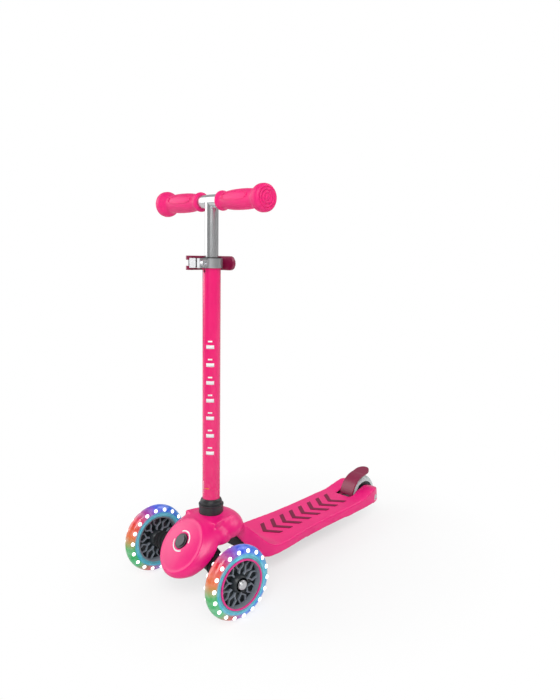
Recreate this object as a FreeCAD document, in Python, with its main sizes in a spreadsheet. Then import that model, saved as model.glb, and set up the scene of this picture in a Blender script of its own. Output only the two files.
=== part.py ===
"""Child's three-wheeled kick scooter that steers by leaning.

Units are millimetres, +Z is up, the rider faces -Y and the rider's left is +X.  The origin lies on
the ground, in the middle of the scooter's length and width, with the bar at its lowest height.
"""
import FreeCAD, Part
import math
import os

import Sketcher
from FreeCAD import Placement, Rotation, Vector

doc = FreeCAD.newDocument("kick_scooter")
sheet = doc.addObject("Spreadsheet::Sheet", "Sizes")

# ---------------------------------------------------------------- driving dimensions
DRIVING = [
    # running gear
    ("front_wheel_radius", 60.5, "front wheel over its tread"),
    ("rear_wheel_radius", 37.0, "rear wheel over its tread"),
    ("wheelbase", 431.0, "front axle to rear axle"),
    ("half_track", 117.0, "scooter middle to the middle of a front wheel"),
    ("front_tyre_height", 15.0, "tread to the bottom of the front tyre"),
    ("rear_tyre_height", 11.0, "tread to the bottom of the rear tyre"),
    ("tyre_width", 23.0, "tyre where it grips its core"),
    ("core_rim_wall", 7.0, "core rim, measured along the radius"),
    ("core_web", 8.0, "thickness of the spoke web"),
    ("trim_ring_width", 2.6, "coloured ring on a front core, along the radius"),
    ("trim_ring_depth", 1.8, "coloured ring, along the axle"),
    ("light_bead_radius", 2.2, "light bead set in a front tyre"),
    ("light_bead_height", 3.4, "light bead, along the wheel's radius"),
    ("light_groove_play", 0.4, "room round the beads in the tyre's groove"),
    ("hub_radius", 15.0, "wheel hub"),
    ("hub_length", 25.0, "wheel hub, along the axle"),
    ("bearing_radius", 11.0, "ball bearing, outside"),
    ("bearing_width", 7.0, "ball bearing, along the axle"),
    ("spacer_wall", 2.6, "bearing spacer tube"),
    ("axle_radius", 4.0, "wheel axles"),
    ("running_fit", 0.05, "radial play where one metal part turns on another"),
    ("axle_cap_radius", 8.0, "domed head of a front axle"),
    ("axle_cap_height", 4.5, "domed head of a front axle"),
    ("axle_grip", 34.0, "length of front axle held by its arm"),
    ("end_play", 0.4, "axial play beside a wheel or a lever"),
    ("washer_thickness", 1.2, "washer between an arm and its wheel"),
    # steering
    ("steer_rake", 48.0, "lean of the steering axis from upright, towards the front"),
    ("button_y", -21.1, "lock button, behind the front axle"),
    ("button_z", 100.5, "lock button above the ground"),
    ("kingpin_radius", 5.0, "steering bolt"),
    ("kingpin_head_radius", 8.0, "steering bolt head"),
    ("kingpin_head_depth", 14.0, "steering bolt head below the head's face"),
    ("kingpin_head_height", 6.0, "steering bolt head"),
    ("boss_radius", 17.0, "frame boss round the steering bolt"),
    ("boss_front", 13.0, "front of the frame boss below the face"),
    ("boss_length", 25.0, "frame boss along the steering bolt"),
    ("thrust_washer", 1.8, "thrust washer between the boss and the truck"),
    ("truck_hub_radius", 21.0, "truck hub round the steering bolt"),
    ("truck_hub_length", 22.0, "truck hub along the steering bolt"),
    ("bush_wall", 3.0, "truck bush"),
    ("arm_root_radius", 20.5, "truck arm at the hub"),
    ("arm_tip_radius", 14.0, "truck arm at its wheel"),
    ("arm_root_x", 17.0, "start of a truck arm, from the middle"),
    ("arm_rib_depth", 1.4, "ribs that stand out of a truck arm"),
    ("arm_rib_width", 3.0, "ribs along a truck arm"),
    ("spring_x", 20.0, "centring springs, from the middle"),
    ("spring_radius", 5.0, "centring springs, outside"),
    ("spring_wire", 1.6, "centring springs' wire"),
    ("spring_seat_height", 36.0, "frame's spring seat above the steering axis"),
    ("button_radius", 9.5, "lock button"),
    ("button_travel", 4.0, "lock button's stroke"),
    ("button_proud", 2.5, "lock button above the face"),
    ("button_flange_radius", 16.0, "flange behind the lock button"),
    ("button_flange", 3.0, "flange behind the lock button, thickness"),
    ("bezel_width", 3.0, "ring round the lock button"),
    ("dog_offset", 12.2, "lock dog from the steering axis"),
    ("dog_radius", 2.6, "lock dog"),
    # stem
    ("stem_lean", 5.63, "backward lean of the stem"),
    ("collar_y", 44.8, "seat of the stem's collar behind the front axle"),
    ("collar_z", 129.0, "seat of the stem's collar above the ground"),
    ("collar_radius", 20.8, "collar at its foot"),
    ("collar_step_radius", 18.7, "collar above its lip"),
    ("collar_height", 26.0, "collar along the stem"),
    ("column_radius", 15.0, "column tube, outside"),
    ("column_wall", 2.0, "column tube"),
    ("column_height", 433.0, "column tube above the collar's seat"),
    ("column_sunk", 29.0, "column tube below the collar's seat"),
    ("socket_wall", 4.0, "frame socket round the column"),
    ("bar_radius", 11.0, "sliding tube and crossbar, outside"),
    ("bar_wall", 1.5, "sliding tube and crossbar"),
    ("crossbar_height", 524.5, "crossbar above the collar's seat, bar lowered"),
    ("bar_overlap", 190.0, "sliding tube inside the column, bar lowered"),
    ("bar_travel", 100.0, "height adjustment"),
    ("height_step", 50.0, "distance between height holes"),
    ("guide_length", 26.0, "guide bush at the top of the column"),
    ("guide_flange", 1.6, "guide bush rim on top of the column"),
    ("slit_width", 3.0, "slit in the front of the column"),
    ("slit_length", 21.0, "slit down from the top of the column"),
    ("snap_height", 30.0, "snap button above the sliding tube's foot"),
    ("snap_radius", 2.8, "snap button"),
    ("snap_hole_play", 0.4, "room round the snap button"),
    ("clip_strip", 0.8, "snap spring strip"),
    ("clip_width", 8.0, "snap spring strip"),
    # clamp
    ("band_wall", 3.2, "clamp band"),
    ("band_height", 15.7, "clamp band along the stem"),
    ("ear_reach", 31.0, "clamp ears in front of the stem's axis"),
    ("ear_right", 12.0, "clamp ear on the rider's right, width"),
    ("ear_left", 9.0, "clamp ear on the rider's left, width"),
    ("ear_gap", 4.0, "gap between the clamp ears"),
    ("clamp_bolt_y", 25.0, "clamp bolt in front of the stem's axis"),
    ("clamp_bolt_radius", 2.5, "clamp bolt"),
    ("clamp_nut_radius", 5.6, "clamp nut"),
    ("clamp_nut_length", 7.0, "clamp nut"),
    ("cam_washer", 7.0, "cam washer along the clamp bolt"),
    ("barrel_radius", 3.6, "lever barrel"),
    ("lever_height", 23.5, "clamp lever along the stem"),
    ("lever_thickness", 6.0, "clamp lever"),
    ("lever_cam_radius", 6.6, "round end of the clamp lever"),
    ("lever_back_y", 29.0, "clamp lever behind the stem's axis"),
    ("lever_tip_x", 24.0, "tip of the clamp lever, to the rider's left"),
    # grips
    ("grip_start", 26.0, "inner end of a grip from the middle"),
    ("grip_end", 137.5, "outer end of a grip from the middle"),
    ("grip_flange_radius", 16.0, "flange at the inner end of a grip"),
    ("grip_waist_radius", 13.3, "grip between its flange and its barrel"),
    ("grip_barrel_radius", 16.3, "grip where the palm lies"),
    ("grip_neck_radius", 14.6, "grip beside its round end"),
    ("grip_bulb_radius", 21.7, "round end of a grip"),
    ("grip_cap", 4.0, "closed end of a grip"),
    # deck
    ("deck_height", 49.0, "standing surface above the ground"),
    ("neck_foot_y", 130.0, "foot of the neck behind the front axle"),
    ("neck_slope_run", 63.0, "level distance that the neck takes to come down"),
    ("arch_height", 106.0, "top of the arch under the neck, above the ground"),
    ("arch_foot_y", 107.0, "back foot of the arch behind the front axle"),
    ("arch_front_y", 20.0, "front of the arch behind the front axle"),
    ("deck_drop", 16.0, "skirt of the deck, from the top surface down"),
    ("shell_wall", 3.5, "deck moulding"),
    ("shoulder_half_width", 60.0, "deck at its widest, behind the neck"),
    ("waist_half_width", 51.0, "deck along its middle"),
    ("neck_half_width", 32.0, "neck behind the collar"),
    ("tail_half_width", 44.0, "deck beside the rear wheel"),
    ("tail_rise", 11.0, "tail above the standing surface, beside the rear wheel"),
    ("tail_overhang", 21.0, "deck's tail behind the rear axle"),
    ("wheel_slot", 15.5, "slot for the rear wheel, from the middle"),
    ("face_radius", 46.0, "flat face of the head"),
    ("face_offset", 6.5, "face middle below the lock button, along the face"),
    ("face_crown", 6.0, "dome of the face"),
    ("shoulder_radius", 44.0, "shoulder under the collar, at its foot"),
    ("shoulder_drop", 23.0, "height of the shoulder under the collar"),
    ("rim_radius", 65.0, "head at its open rim"),
    ("rim_depth", 30.0, "head's rim behind the face, along the steering axis"),
    ("rim_offset", 16.0, "rim middle above the steering axis, along the face"),
    ("frame_half_width", 27.0, "frame under the neck and deck"),
    ("frame_depth", 17.0, "frame under the deck"),
    ("strip_height", 0.8, "anti-slip strips above the standing surface"),
    # brake
    ("brake_pivot_y", 45.0, "brake pivot in front of the rear axle"),
    ("brake_pivot_z", 41.0, "brake pivot above the ground"),
    ("brake_pin_radius", 2.5, "brake pin"),
    ("brake_knuckle_radius", 5.0, "brake fender round its pin"),
    ("brake_half_width", 16.0, "brake fender, from the middle"),
    ("brake_tip_y", 22.5, "tip of the brake fender behind the rear axle"),
    ("brake_tip_z", 86.5, "tip of the brake fender above the ground"),
    ("brake_thickness", 3.2, "brake fender"),
    ("brake_clearance", 2.2, "brake pad above the rear tyre"),
    ("brake_pad", 1.6, "metal wear plate under the fender"),
]
for row, (alias, number, note) in enumerate(DRIVING, start=1):
    sheet.set(f"A{row}", note)
    sheet.set(f"B{row}", str(number))
    sheet.setAlias(f"B{row}", alias)
doc.recompute()


class Term:
    """A size that carries both its number and the expression that binds it to the sheet."""

    def __init__(self, text, number):
        self.text = text
        self.number = float(number)

    def __add__(self, other):
        other = term(other)
        return Term(f"({self.text} + {other.text})", self.number + other.number)

    def __sub__(self, other):
        other = term(other)
        return Term(f"({self.text} - {other.text})", self.number - other.number)

    def __mul__(self, other):
        other = term(other)
        return Term(f"({self.text} * {other.text})", self.number * other.number)

    def __truediv__(self, other):
        other = term(other)
        return Term(f"({self.text} / {other.text})", self.number / other.number)

    def __neg__(self):
        return Term(f"(0 - {self.text})", -self.number)

    def __radd__(self, other):
        return term(other) + self

    def __rsub__(self, other):
        return term(other) - self

    def __rmul__(self, other):
        return term(other) * self

    def __float__(self):
        return self.number


def term(value):
    return value if isinstance(value, Term) else Term(f"{float(value):.6f}", value)


def sine(angle):
    return Term(f"sin({angle.text} * 1 deg)", math.sin(math.radians(angle.number)))


def cosine(angle):
    return Term(f"cos({angle.text} * 1 deg)", math.cos(math.radians(angle.number)))


class Sizes:
    """The sheet's aliases as terms: size.wheelbase and so on."""

    def __getattr__(self, alias):
        return Term(f"Sizes.{alias}", sheet.get(alias))


size = Sizes()


class Frame:
    """A place on the scooter, turned about the X axis by a tilt in degrees."""

    def __init__(self, x, y, z, tilt=0.0):
        self.x, self.y, self.z, self.tilt = term(x), term(y), term(z), term(tilt)

    def point(self, x, y, z):
        """World position, as three terms, of a point given in this frame."""
        if self.tilt.number == 0:
            return self.x + x, self.y + y, self.z + z
        low, high = sine(self.tilt), cosine(self.tilt)
        return self.x + x, self.y + high * y - low * z, self.z + low * y + high * z

    def placement(self):
        base = Vector(self.x.number, self.y.number, self.z.number)
        return Placement(base, Rotation(Vector(1, 0, 0), self.tilt.number))


nodes = {}


def node(name, piece):
    """Name a finished sub-part; the name is also its file's."""
    piece.Label = name
    nodes[name] = piece
    return piece


def bind(piece, **terms):
    for prop, value in terms.items():
        piece.setExpression(prop, term(value).text)


def seat(piece, frame, at, along="z"):
    """Put a piece at a point of a frame, its own Z axis along one of the frame's axes."""
    place = frame.point(*at)
    if along == "x":
        axis, turn = Vector(0, 1, 0), term(90.0)
    elif along == "y":
        axis, turn = Vector(1, 0, 0), frame.tilt - 90.0
    else:
        axis, turn = Vector(1, 0, 0), frame.tilt
    if turn.number < 0:
        axis, turn = -axis, -turn
    base = Vector(*(value.number for value in place))
    piece.Placement = Placement(base, Rotation(axis, turn.number))
    for letter, value in zip("xyz", place):
        piece.setExpression(f"Placement.Base.{letter}", value.text)
    if turn.number:
        piece.setExpression("Placement.Rotation.Angle", turn.text)
    return piece


def rod(frame, radius, length, at=(0, 0, 0), along="z"):
    piece = doc.addObject("Part::Cylinder", "rod")
    bind(piece, Radius=radius, Height=length)
    return seat(piece, frame, at, along)


def cone(frame, radius_low, radius_high, length, at=(0, 0, 0), along="z"):
    piece = doc.addObject("Part::Cone", "cone")
    bind(piece, Radius1=radius_low, Radius2=radius_high, Height=length)
    return seat(piece, frame, at, along)


def block(frame, width, depth, height, at=(0, 0, 0)):
    """A box from its corner with the lowest x, y and z in the frame."""
    piece = doc.addObject("Part::Box", "block")
    bind(piece, Length=width, Width=depth, Height=height)
    return seat(piece, frame, at)


def fuse(*pieces):
    joined = doc.addObject("Part::MultiFuse", "fuse")
    joined.Shapes = list(pieces)
    return joined


def cut(base, *tools):
    result = doc.addObject("Part::Cut", "cut")
    result.Base = base
    result.Tool = tools[0] if len(tools) == 1 else fuse(*tools)
    return result


def group(*pieces):
    """Separate solids that share one node."""
    bundle = doc.addObject("Part::Compound", "group")
    bundle.Links = list(pieces)
    return bundle


def ring(frame, outer, inner, length, at=(0, 0, 0), along="z"):
    return cut(rod(frame, outer, length, at, along), rod(frame, inner, length, at, along))


def outline(sketch, corners):
    """Draw a closed outline of straight lines, each corner bound to the sheet."""
    points = [Vector(float(across), float(up), 0) for across, up in corners]
    count = len(points)
    lines = [Part.LineSegment(points[i], points[(i + 1) % count]) for i in range(count)]
    sketch.addGeometry(lines, False)
    for i in range(count):
        sketch.addConstraint(Sketcher.Constraint("Coincident", i, 2, (i + 1) % count, 1))
    for i, corner in enumerate(corners):
        for kind, value in zip(("DistanceX", "DistanceY"), corner):
            value = term(value)
            index = sketch.addConstraint(Sketcher.Constraint(kind, -1, 1, i, 1, value.number))
            sketch.setExpression(f"Constraints[{index}]", value.text)


def body_with_sketch(plane, corners):
    body = doc.addObject("PartDesign::Body", "body")
    sketch = body.newObject("Sketcher::SketchObject", "outline")
    origin_plane = [item for item in body.Origin.OriginFeatures if item.Role == plane][0]
    sketch.AttachmentSupport = [(origin_plane, "")]
    sketch.MapMode = "FlatFace"
    outline(sketch, corners)
    doc.recompute()
    return body, sketch


def turned(frame, profile, at=(0, 0, 0), along="z"):
    """A lathe-turned piece: its profile is a list of (radius, height along the axis)."""
    body, sketch = body_with_sketch("XZ_Plane", profile)
    revolution = body.newObject("PartDesign::Revolution", "turning")
    revolution.Profile = sketch
    revolution.ReferenceAxis = (sketch, ["V_Axis"])
    revolution.Angle = 360.0
    return seat(body, frame, at, along)


def plate(frame, corners, thickness, plane="XY_Plane", at=(0, 0, 0)):
    """A flat piece of even thickness; in the YZ plane its corners are (y, z) and it is centred."""
    body, sketch = body_with_sketch(plane, corners)
    pad = body.newObject("PartDesign::Pad", "thickness")
    pad.Profile = sketch
    pad.Midplane = plane == "YZ_Plane"
    bind(pad, Length=thickness)
    return seat(body, frame, at)


def shaped(frame, shape):
    """A piece of free shape, made in a frame from the sheet's values."""
    piece = doc.addObject("Part::Feature", "shaped")
    piece.Shape = shape
    piece.Placement = frame.placement().multiply(shape.Placement)
    return piece


# ---------------------------------------------------------------- frames
front_axle_y = -(size.wheelbase + size.rear_wheel_radius - size.front_wheel_radius) / 2
ground = Frame(0, front_axle_y, 0)
rear_wheel = Frame(0, front_axle_y + size.wheelbase, size.rear_wheel_radius)
steer = Frame(0, front_axle_y + size.button_y, size.button_z, size.steer_rake)
stem = Frame(0, front_axle_y + size.collar_y, size.collar_z, -size.stem_lean)
SIDES = (("left", 1), ("right", -1))

hub_half = size.hub_length / 2
arm_tip_x = size.half_track - hub_half - size.end_play - size.washer_thickness
hub_top = size.boss_front + size.boss_length + size.thrust_washer + size.end_play / 2
hub_bottom = hub_top + size.truck_hub_length
bush_bore = size.kingpin_radius + size.running_fit


def outboard(side, start, length):
    """Lowest x of a stretch that starts a distance from the middle and runs outwards."""
    return start if side > 0 else -(start + length)


# ---------------------------------------------------------------- wheels
def tyre(frame, radius, height):
    """A tyre whose section is a flat foot and one arc over the tread."""
    foot, half = float(radius - height), float(size.tyre_width / 2)
    left, top, right = Vector(-half, 0, foot), Vector(0, 0, float(radius)), Vector(half, 0, foot)
    section = Part.Wire([Part.Arc(left, top, right).toShape(), Part.makeLine(right, left)])
    solid = Part.Face(section).revolve(Vector(0, 0, 0), Vector(1, 0, 0), 360)
    return shaped(frame, solid)


def wheel_core(frame, rim_radius):
    """Rim, web and hub in one moulding, with a seat for a bearing at each end of the hub."""
    rim_half, web_half = size.tyre_width / 2, size.core_web / 2
    rim_inside = rim_radius - size.core_rim_wall
    seat_half = hub_half - size.bearing_width
    bore = size.axle_radius + size.spacer_wall + 1.0
    upper = [
        (bore, seat_half), (size.bearing_radius, seat_half), (size.bearing_radius, hub_half),
        (size.hub_radius, hub_half), (size.hub_radius, web_half), (rim_inside, web_half),
        (rim_inside, rim_half), (rim_radius, rim_half),
    ]
    lower = [(radius, -height) for radius, height in reversed(upper)]
    return turned(frame, upper + lower, along="x")


def web_windows(frame, ring_radius, hole_radius, count, turn):
    """Round openings between the spokes."""
    holes = []
    for i in range(count):
        angle = 2 * math.pi * (i + turn) / count
        at = (-size.core_web, ring_radius * math.cos(angle), ring_radius * math.sin(angle))
        holes.append(rod(frame, hole_radius, size.core_web * 2, at, "x"))
    return holes


def bearings(frame):
    seat_half = hub_half - size.bearing_width
    bore = size.axle_radius + size.running_fit
    places = (seat_half, -hub_half)
    return group(*(ring(frame, size.bearing_radius, bore, size.bearing_width, (x, 0, 0), "x")
                   for x in places))


def bearing_spacer(frame):
    bore = size.axle_radius + 0.3
    length = size.hub_length - size.bearing_width * 2
    return ring(frame, size.axle_radius + size.spacer_wall, bore, length, (-length / 2, 0, 0), "x")


core_radius = size.front_wheel_radius - size.front_tyre_height
rim_inside = core_radius - size.core_rim_wall
window_circle = (rim_inside + size.hub_radius) / 2
window_radius = (rim_inside - size.hub_radius) / 2 - 3.5
for name, side in SIDES:
    wheel = Frame(size.half_track * side, front_axle_y, size.front_wheel_radius)
    groove_half = size.light_bead_radius + size.light_groove_play
    groove_top = core_radius + size.light_bead_height + size.light_groove_play
    groove = ring(wheel, groove_top, core_radius - 1, groove_half * 2, (-groove_half, 0, 0), "x")
    node(f"front_tyre_{name}", cut(tyre(wheel, size.front_wheel_radius, size.front_tyre_height), groove))

    beads = []
    for i in range(18):
        angle = 2 * math.pi * i / 18
        outward = Vector(0, math.cos(angle), math.sin(angle))
        beads.append(Part.makeCylinder(float(size.light_bead_radius), float(size.light_bead_height),
                                       outward * float(core_radius + 0.1), outward))
    node(f"light_beads_{name}", shaped(wheel, Part.makeCompound(beads)))

    windows = web_windows(wheel, window_circle, window_radius, 6, 0)
    node(f"front_core_{name}", cut(wheel_core(wheel, core_radius), *windows))
    trim_x = outboard(side, size.tyre_width / 2, size.trim_ring_depth)
    node(f"trim_ring_{name}", ring(wheel, rim_inside + size.trim_ring_width, rim_inside,
                                   size.trim_ring_depth, (trim_x, 0, 0), "x"))
    node(f"front_bearings_{name}", bearings(wheel))
    node(f"front_bearing_spacer_{name}", bearing_spacer(wheel))

    # the axle bolt is held by the truck's arm and its domed head keeps the wheel on
    shank = size.axle_grip + size.washer_thickness + size.end_play * 2 + size.hub_length
    axle_start = arm_tip_x - size.axle_grip
    axle = rod(ground, size.axle_radius, shank,
               (outboard(side, axle_start, shank), 0, size.front_wheel_radius), "x")
    head_start = axle_start + shank
    slope = size.axle_cap_height
    if side > 0:
        head = cone(ground, size.axle_cap_radius, size.axle_cap_radius - 3, slope,
                    (head_start, 0, size.front_wheel_radius), "x")
    else:
        head = cone(ground, size.axle_cap_radius - 3, size.axle_cap_radius, slope,
                    (-(head_start + slope), 0, size.front_wheel_radius), "x")
    node(f"front_axle_{name}", fuse(axle, head))
    node(f"axle_washer_{name}", ring(ground, size.axle_radius + 3, size.axle_radius,
                                     size.washer_thickness,
                                     (outboard(side, arm_tip_x, size.washer_thickness), 0,
                                      size.front_wheel_radius), "x"))

rear_core_radius = size.rear_wheel_radius - size.rear_tyre_height
node("rear_tyre", tyre(rear_wheel, size.rear_wheel_radius, size.rear_tyre_height))
node("rear_core", wheel_core(rear_wheel, rear_core_radius))
node("rear_bearings", bearings(rear_wheel))
node("rear_bearing_spacer", bearing_spacer(rear_wheel))

# ---------------------------------------------------------------- steering truck
def inward(depth):
    """Point on the steering axis, in the ground frame, at a depth below the lock button."""
    rake = math.radians(float(size.steer_rake))
    return Vector(0, float(size.button_y) + depth * math.sin(rake),
                  float(size.button_z) - depth * math.cos(rake))


rake = math.radians(float(size.steer_rake))
into_head = Vector(0, math.sin(rake), -math.cos(rake))
across_face = Vector(0, math.cos(rake), math.sin(rake))
hub_middle = inward(float(hub_top + size.truck_hub_length / 2))


def axle_carrier():
    """The truck: a hub on the steering bolt and a ribbed, tapering arm to each front wheel."""
    solid = Part.makeCylinder(float(size.truck_hub_radius), float(size.truck_hub_length),
                              inward(float(hub_top)), into_head)
    root_radius, tip_radius = float(size.arm_root_radius), float(size.arm_tip_radius)
    spring_foot = float(size.truck_hub_radius) - 1
    for side in (1, -1):
        root = Vector(side * float(size.arm_root_x), hub_middle.y, hub_middle.z)
        tip = Vector(side * float(arm_tip_x), 0, float(size.front_wheel_radius))
        run = tip - root
        solid = solid.fuse(Part.makeCone(root_radius, tip_radius, run.Length, root, run))
        solid = solid.fuse(Part.makeSphere(root_radius, root))
        for step in range(6):
            share = 0.40 + 0.1 * step
            radius = root_radius + (tip_radius - root_radius) * share + float(size.arm_rib_depth)
            rib = Part.makeCylinder(radius, float(size.arm_rib_width), root + run * share, run)
            solid = solid.fuse(rib)
        foot = hub_middle + Vector(side * float(size.spring_x), 0, 0)
        solid = solid.fuse(Part.makeCylinder(float(size.spring_radius) + 1, spring_foot, foot,
                                             across_face))
    bore = float(bush_bore + size.bush_wall)
    solid = solid.cut(Part.makeCylinder(bore, 200, inward(0), into_head))
    for side in (1, -1):
        start = Vector(side * float(arm_tip_x - size.axle_grip), 0, float(size.front_wheel_radius))
        outward = Vector(side, 0, 0)
        solid = solid.cut(Part.makeCylinder(float(size.axle_radius), 100, start, outward))
        # the arm's end is faced off square to its wheel
        solid = solid.cut(Part.makeBox(40, 80, 80, Vector(float(arm_tip_x), -40, 20))
                          if side > 0 else
                          Part.makeBox(40, 80, 80, Vector(-float(arm_tip_x) - 40, -40, 20)))
    # the hub's ends are faced off square to the steering bolt
    clear = 60
    for start, direction in ((float(hub_top), -1), (float(hub_bottom), 1)):
        slab = Part.makeCylinder(float(size.boss_radius) + 5, clear, inward(start),
                                 into_head * direction)
        solid = solid.cut(slab)
    return solid.removeSplitter()


node("axle_carrier", shaped(ground, axle_carrier()))
node("truck_bush", ring(steer, bush_bore + size.bush_wall, bush_bore, size.truck_hub_length,
                        (0, 0, -hub_bottom)))

washer_bottom = hub_bottom + size.end_play / 2 + 1.6
nut_height = 6.0
kingpin_end = washer_bottom + nut_height + 2
head_bottom = size.kingpin_head_depth + size.kingpin_head_height
node("kingpin", turned(steer, [
    (0, -kingpin_end), (size.kingpin_radius, -kingpin_end), (size.kingpin_radius, -head_bottom),
    (size.kingpin_head_radius, -head_bottom), (size.kingpin_head_radius, -size.kingpin_head_depth),
    (0, -size.kingpin_head_depth)]))
node("thrust_washer", ring(steer, size.dog_offset - size.dog_radius - 0.4, size.kingpin_radius,
                           size.thrust_washer, (0, 0, -(hub_top - size.end_play / 2))))


def hexagon(across_corners):
    return [(across_corners * math.cos(math.radians(60 * i + 30)),
             across_corners * math.sin(math.radians(60 * i + 30))) for i in range(6)]


nut = plate(steer, hexagon(size.kingpin_radius * 1.8), nut_height,
            at=(0, 0, -(washer_bottom + nut_height)))
washer = rod(steer, size.boss_radius - 4, 1.6, (0, 0, -washer_bottom))
node("kingpin_nut", cut(fuse(nut, washer), rod(steer, size.kingpin_radius, 40,
                                               (0, 0, -(washer_bottom + 30)))))


def spring(wire, radius, length, turns):
    """A coil spring along Z from the origin, its ends clear of what it pushes on."""
    middle = radius - wire / 2
    helix = Part.makeHelix((length - wire) / turns, length - wire, middle)
    helix.translate(Vector(0, 0, wire / 2))
    start = Vector(middle, 0, wire / 2)
    section = Part.Wire(Part.makeCircle(wire / 2, start, Vector(0, 1, 0.1)))
    return Part.Wire(helix).makePipeShell([section], True, True)


spring_foot = float(size.truck_hub_radius) - 1
foot_play = 0.9
spring_room = float(size.spring_seat_height) - spring_foot - foot_play - 0.3
springs = []
for side in (1, -1):
    coil = spring(float(size.spring_wire), float(size.spring_radius), spring_room, 5)
    foot = hub_middle + Vector(side * float(size.spring_x), 0, 0) + across_face * (spring_foot + foot_play)
    coil.Placement = Placement(foot, Rotation(Vector(0, 0, 1), across_face))
    springs.append(coil)
node("centring_springs", shaped(ground, Part.makeCompound(springs)))

# ---------------------------------------------------------------- steering lock
flange_top = size.shell_wall + 1.7
flange_bottom = flange_top + size.button_flange
node("lock_button", fuse(
    rod(steer, size.button_radius, size.button_proud + flange_top, (0, 0, -flange_top)),
    rod(steer, size.button_flange_radius, size.button_flange, (0, 0, -flange_bottom))))
dog_length = hub_top - size.button_travel - 1.0 - flange_bottom
node("lock_dog", rod(steer, size.dog_radius, dog_length,
                     (0, size.dog_offset, -(flange_bottom + dog_length))))
button_spring_room = float(size.kingpin_head_depth - flange_bottom)
coil = spring(0.9, 5.0, button_spring_room - 0.4, 4)
coil.Placement = Placement(inward(float(size.kingpin_head_depth) - 0.2),
                           Rotation(Vector(0, 0, 1), -into_head))
node("lock_spring", shaped(ground, coil))

# ---------------------------------------------------------------- stem
collar_bore = size.column_radius
node("collar", turned(stem, [
    (collar_bore, 0), (size.collar_radius, 0), (size.collar_radius, size.collar_height * 0.5),
    (size.collar_radius + 0.6, size.collar_height * 0.54),
    (size.collar_radius + 0.6, size.collar_height * 0.62),
    (size.collar_step_radius, size.collar_height * 0.65),
    (size.collar_step_radius, size.collar_height * 0.80),
    (size.collar_step_radius - 1.2, size.collar_height * 0.93),
    (size.column_radius + 0.8, size.collar_height), (collar_bore, size.collar_height)]))

column_bore = size.column_radius - size.column_wall
bar_foot = size.crossbar_height - (size.crossbar_height - size.column_height) - size.bar_overlap
snap_level = bar_foot + size.snap_height
column = ring(stem, size.column_radius, column_bore, size.column_height + size.column_sunk,
              (0, 0, -size.column_sunk))
slit = block(stem, size.slit_width, size.column_radius + 1, size.slit_length + 1,
             (-size.slit_width / 2, -(size.column_radius + 1), size.column_height - size.slit_length))
slit_end = rod(stem, size.slit_width * 0.8, size.column_radius,
               (0, -(size.column_radius + 1), size.column_height - size.slit_length), "y")
height_holes = [rod(stem, size.snap_radius + size.snap_hole_play, size.column_radius,
                    (0, 2, snap_level + size.height_step * step), "y")
                for step in range(3)]
node("column", cut(column, slit, slit_end, *height_holes))
guide_bore = size.bar_radius + size.running_fit
guide = fuse(rod(stem, column_bore, size.guide_length, (0, 0, size.column_height - size.guide_length)),
             rod(stem, size.column_radius, size.guide_flange, (0, 0, size.column_height)))
node("guide_bush", cut(guide, rod(stem, guide_bore, size.guide_length * 2,
                                  (0, 0, size.column_height - size.guide_length * 1.5))))

# sliding bar: a tube coped to the crossbar, both hollow
bar_length = size.crossbar_height - bar_foot
bar_bore = size.bar_radius - size.bar_wall
bar_hole = rod(stem, size.snap_radius + size.snap_hole_play, size.bar_radius + 1,
               (0, 2, snap_level), "y")
crossbar_end = size.grip_end - size.grip_cap
node("bar_tube", cut(
    ring(stem, size.bar_radius, bar_bore, bar_length, (0, 0, bar_foot)), bar_hole,
    rod(stem, size.bar_radius, size.bar_radius * 4, (-size.bar_radius * 2, 0, size.crossbar_height),
        "x")))
node("crossbar", ring(stem, size.bar_radius, bar_bore, crossbar_end * 2,
                      (-crossbar_end, 0, size.crossbar_height), "x"))
foot_plug = 22.0
node("bar_foot_bush", cut(fuse(
    rod(stem, column_bore - size.running_fit, 6, (0, 0, bar_foot - 6)),
    rod(stem, bar_bore, foot_plug, (0, 0, bar_foot - 6))),
    rod(stem, bar_bore - 3, 60, (0, 0, bar_foot - 30))))


def snap_clip():
    """A bent spring strip inside the bar with a button that drops into the column's holes."""
    strip, width = float(size.clip_strip), float(size.clip_width)
    outer = math.sqrt(float(bar_bore) ** 2 - (width / 2) ** 2) - 0.05
    level = float(snap_level)
    bend = level + 14
    along_x = Vector(1, 0, 0)
    start = Vector(-width / 2, 0, bend)
    arch = Part.makeCylinder(outer, width, start, along_x).cut(
        Part.makeCylinder(outer - strip, width, start, along_x))
    arch = arch.common(Part.makeBox(width, 60, 30, Vector(-width / 2, -30, bend)))
    leg = bend - (level - 5)
    legs = [Part.makeBox(width, strip, leg, Vector(-width / 2, y, level - 5))
            for y in (-outer, outer - strip)]
    button = Part.makeCylinder(float(size.snap_radius), float(size.column_radius) - 0.3 - outer + 0.4,
                               Vector(0, outer - 0.4, level), Vector(0, 1, 0))
    return arch.fuse(legs + [button]).removeSplitter()


node("snap_clip", shaped(stem, snap_clip()))


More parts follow.
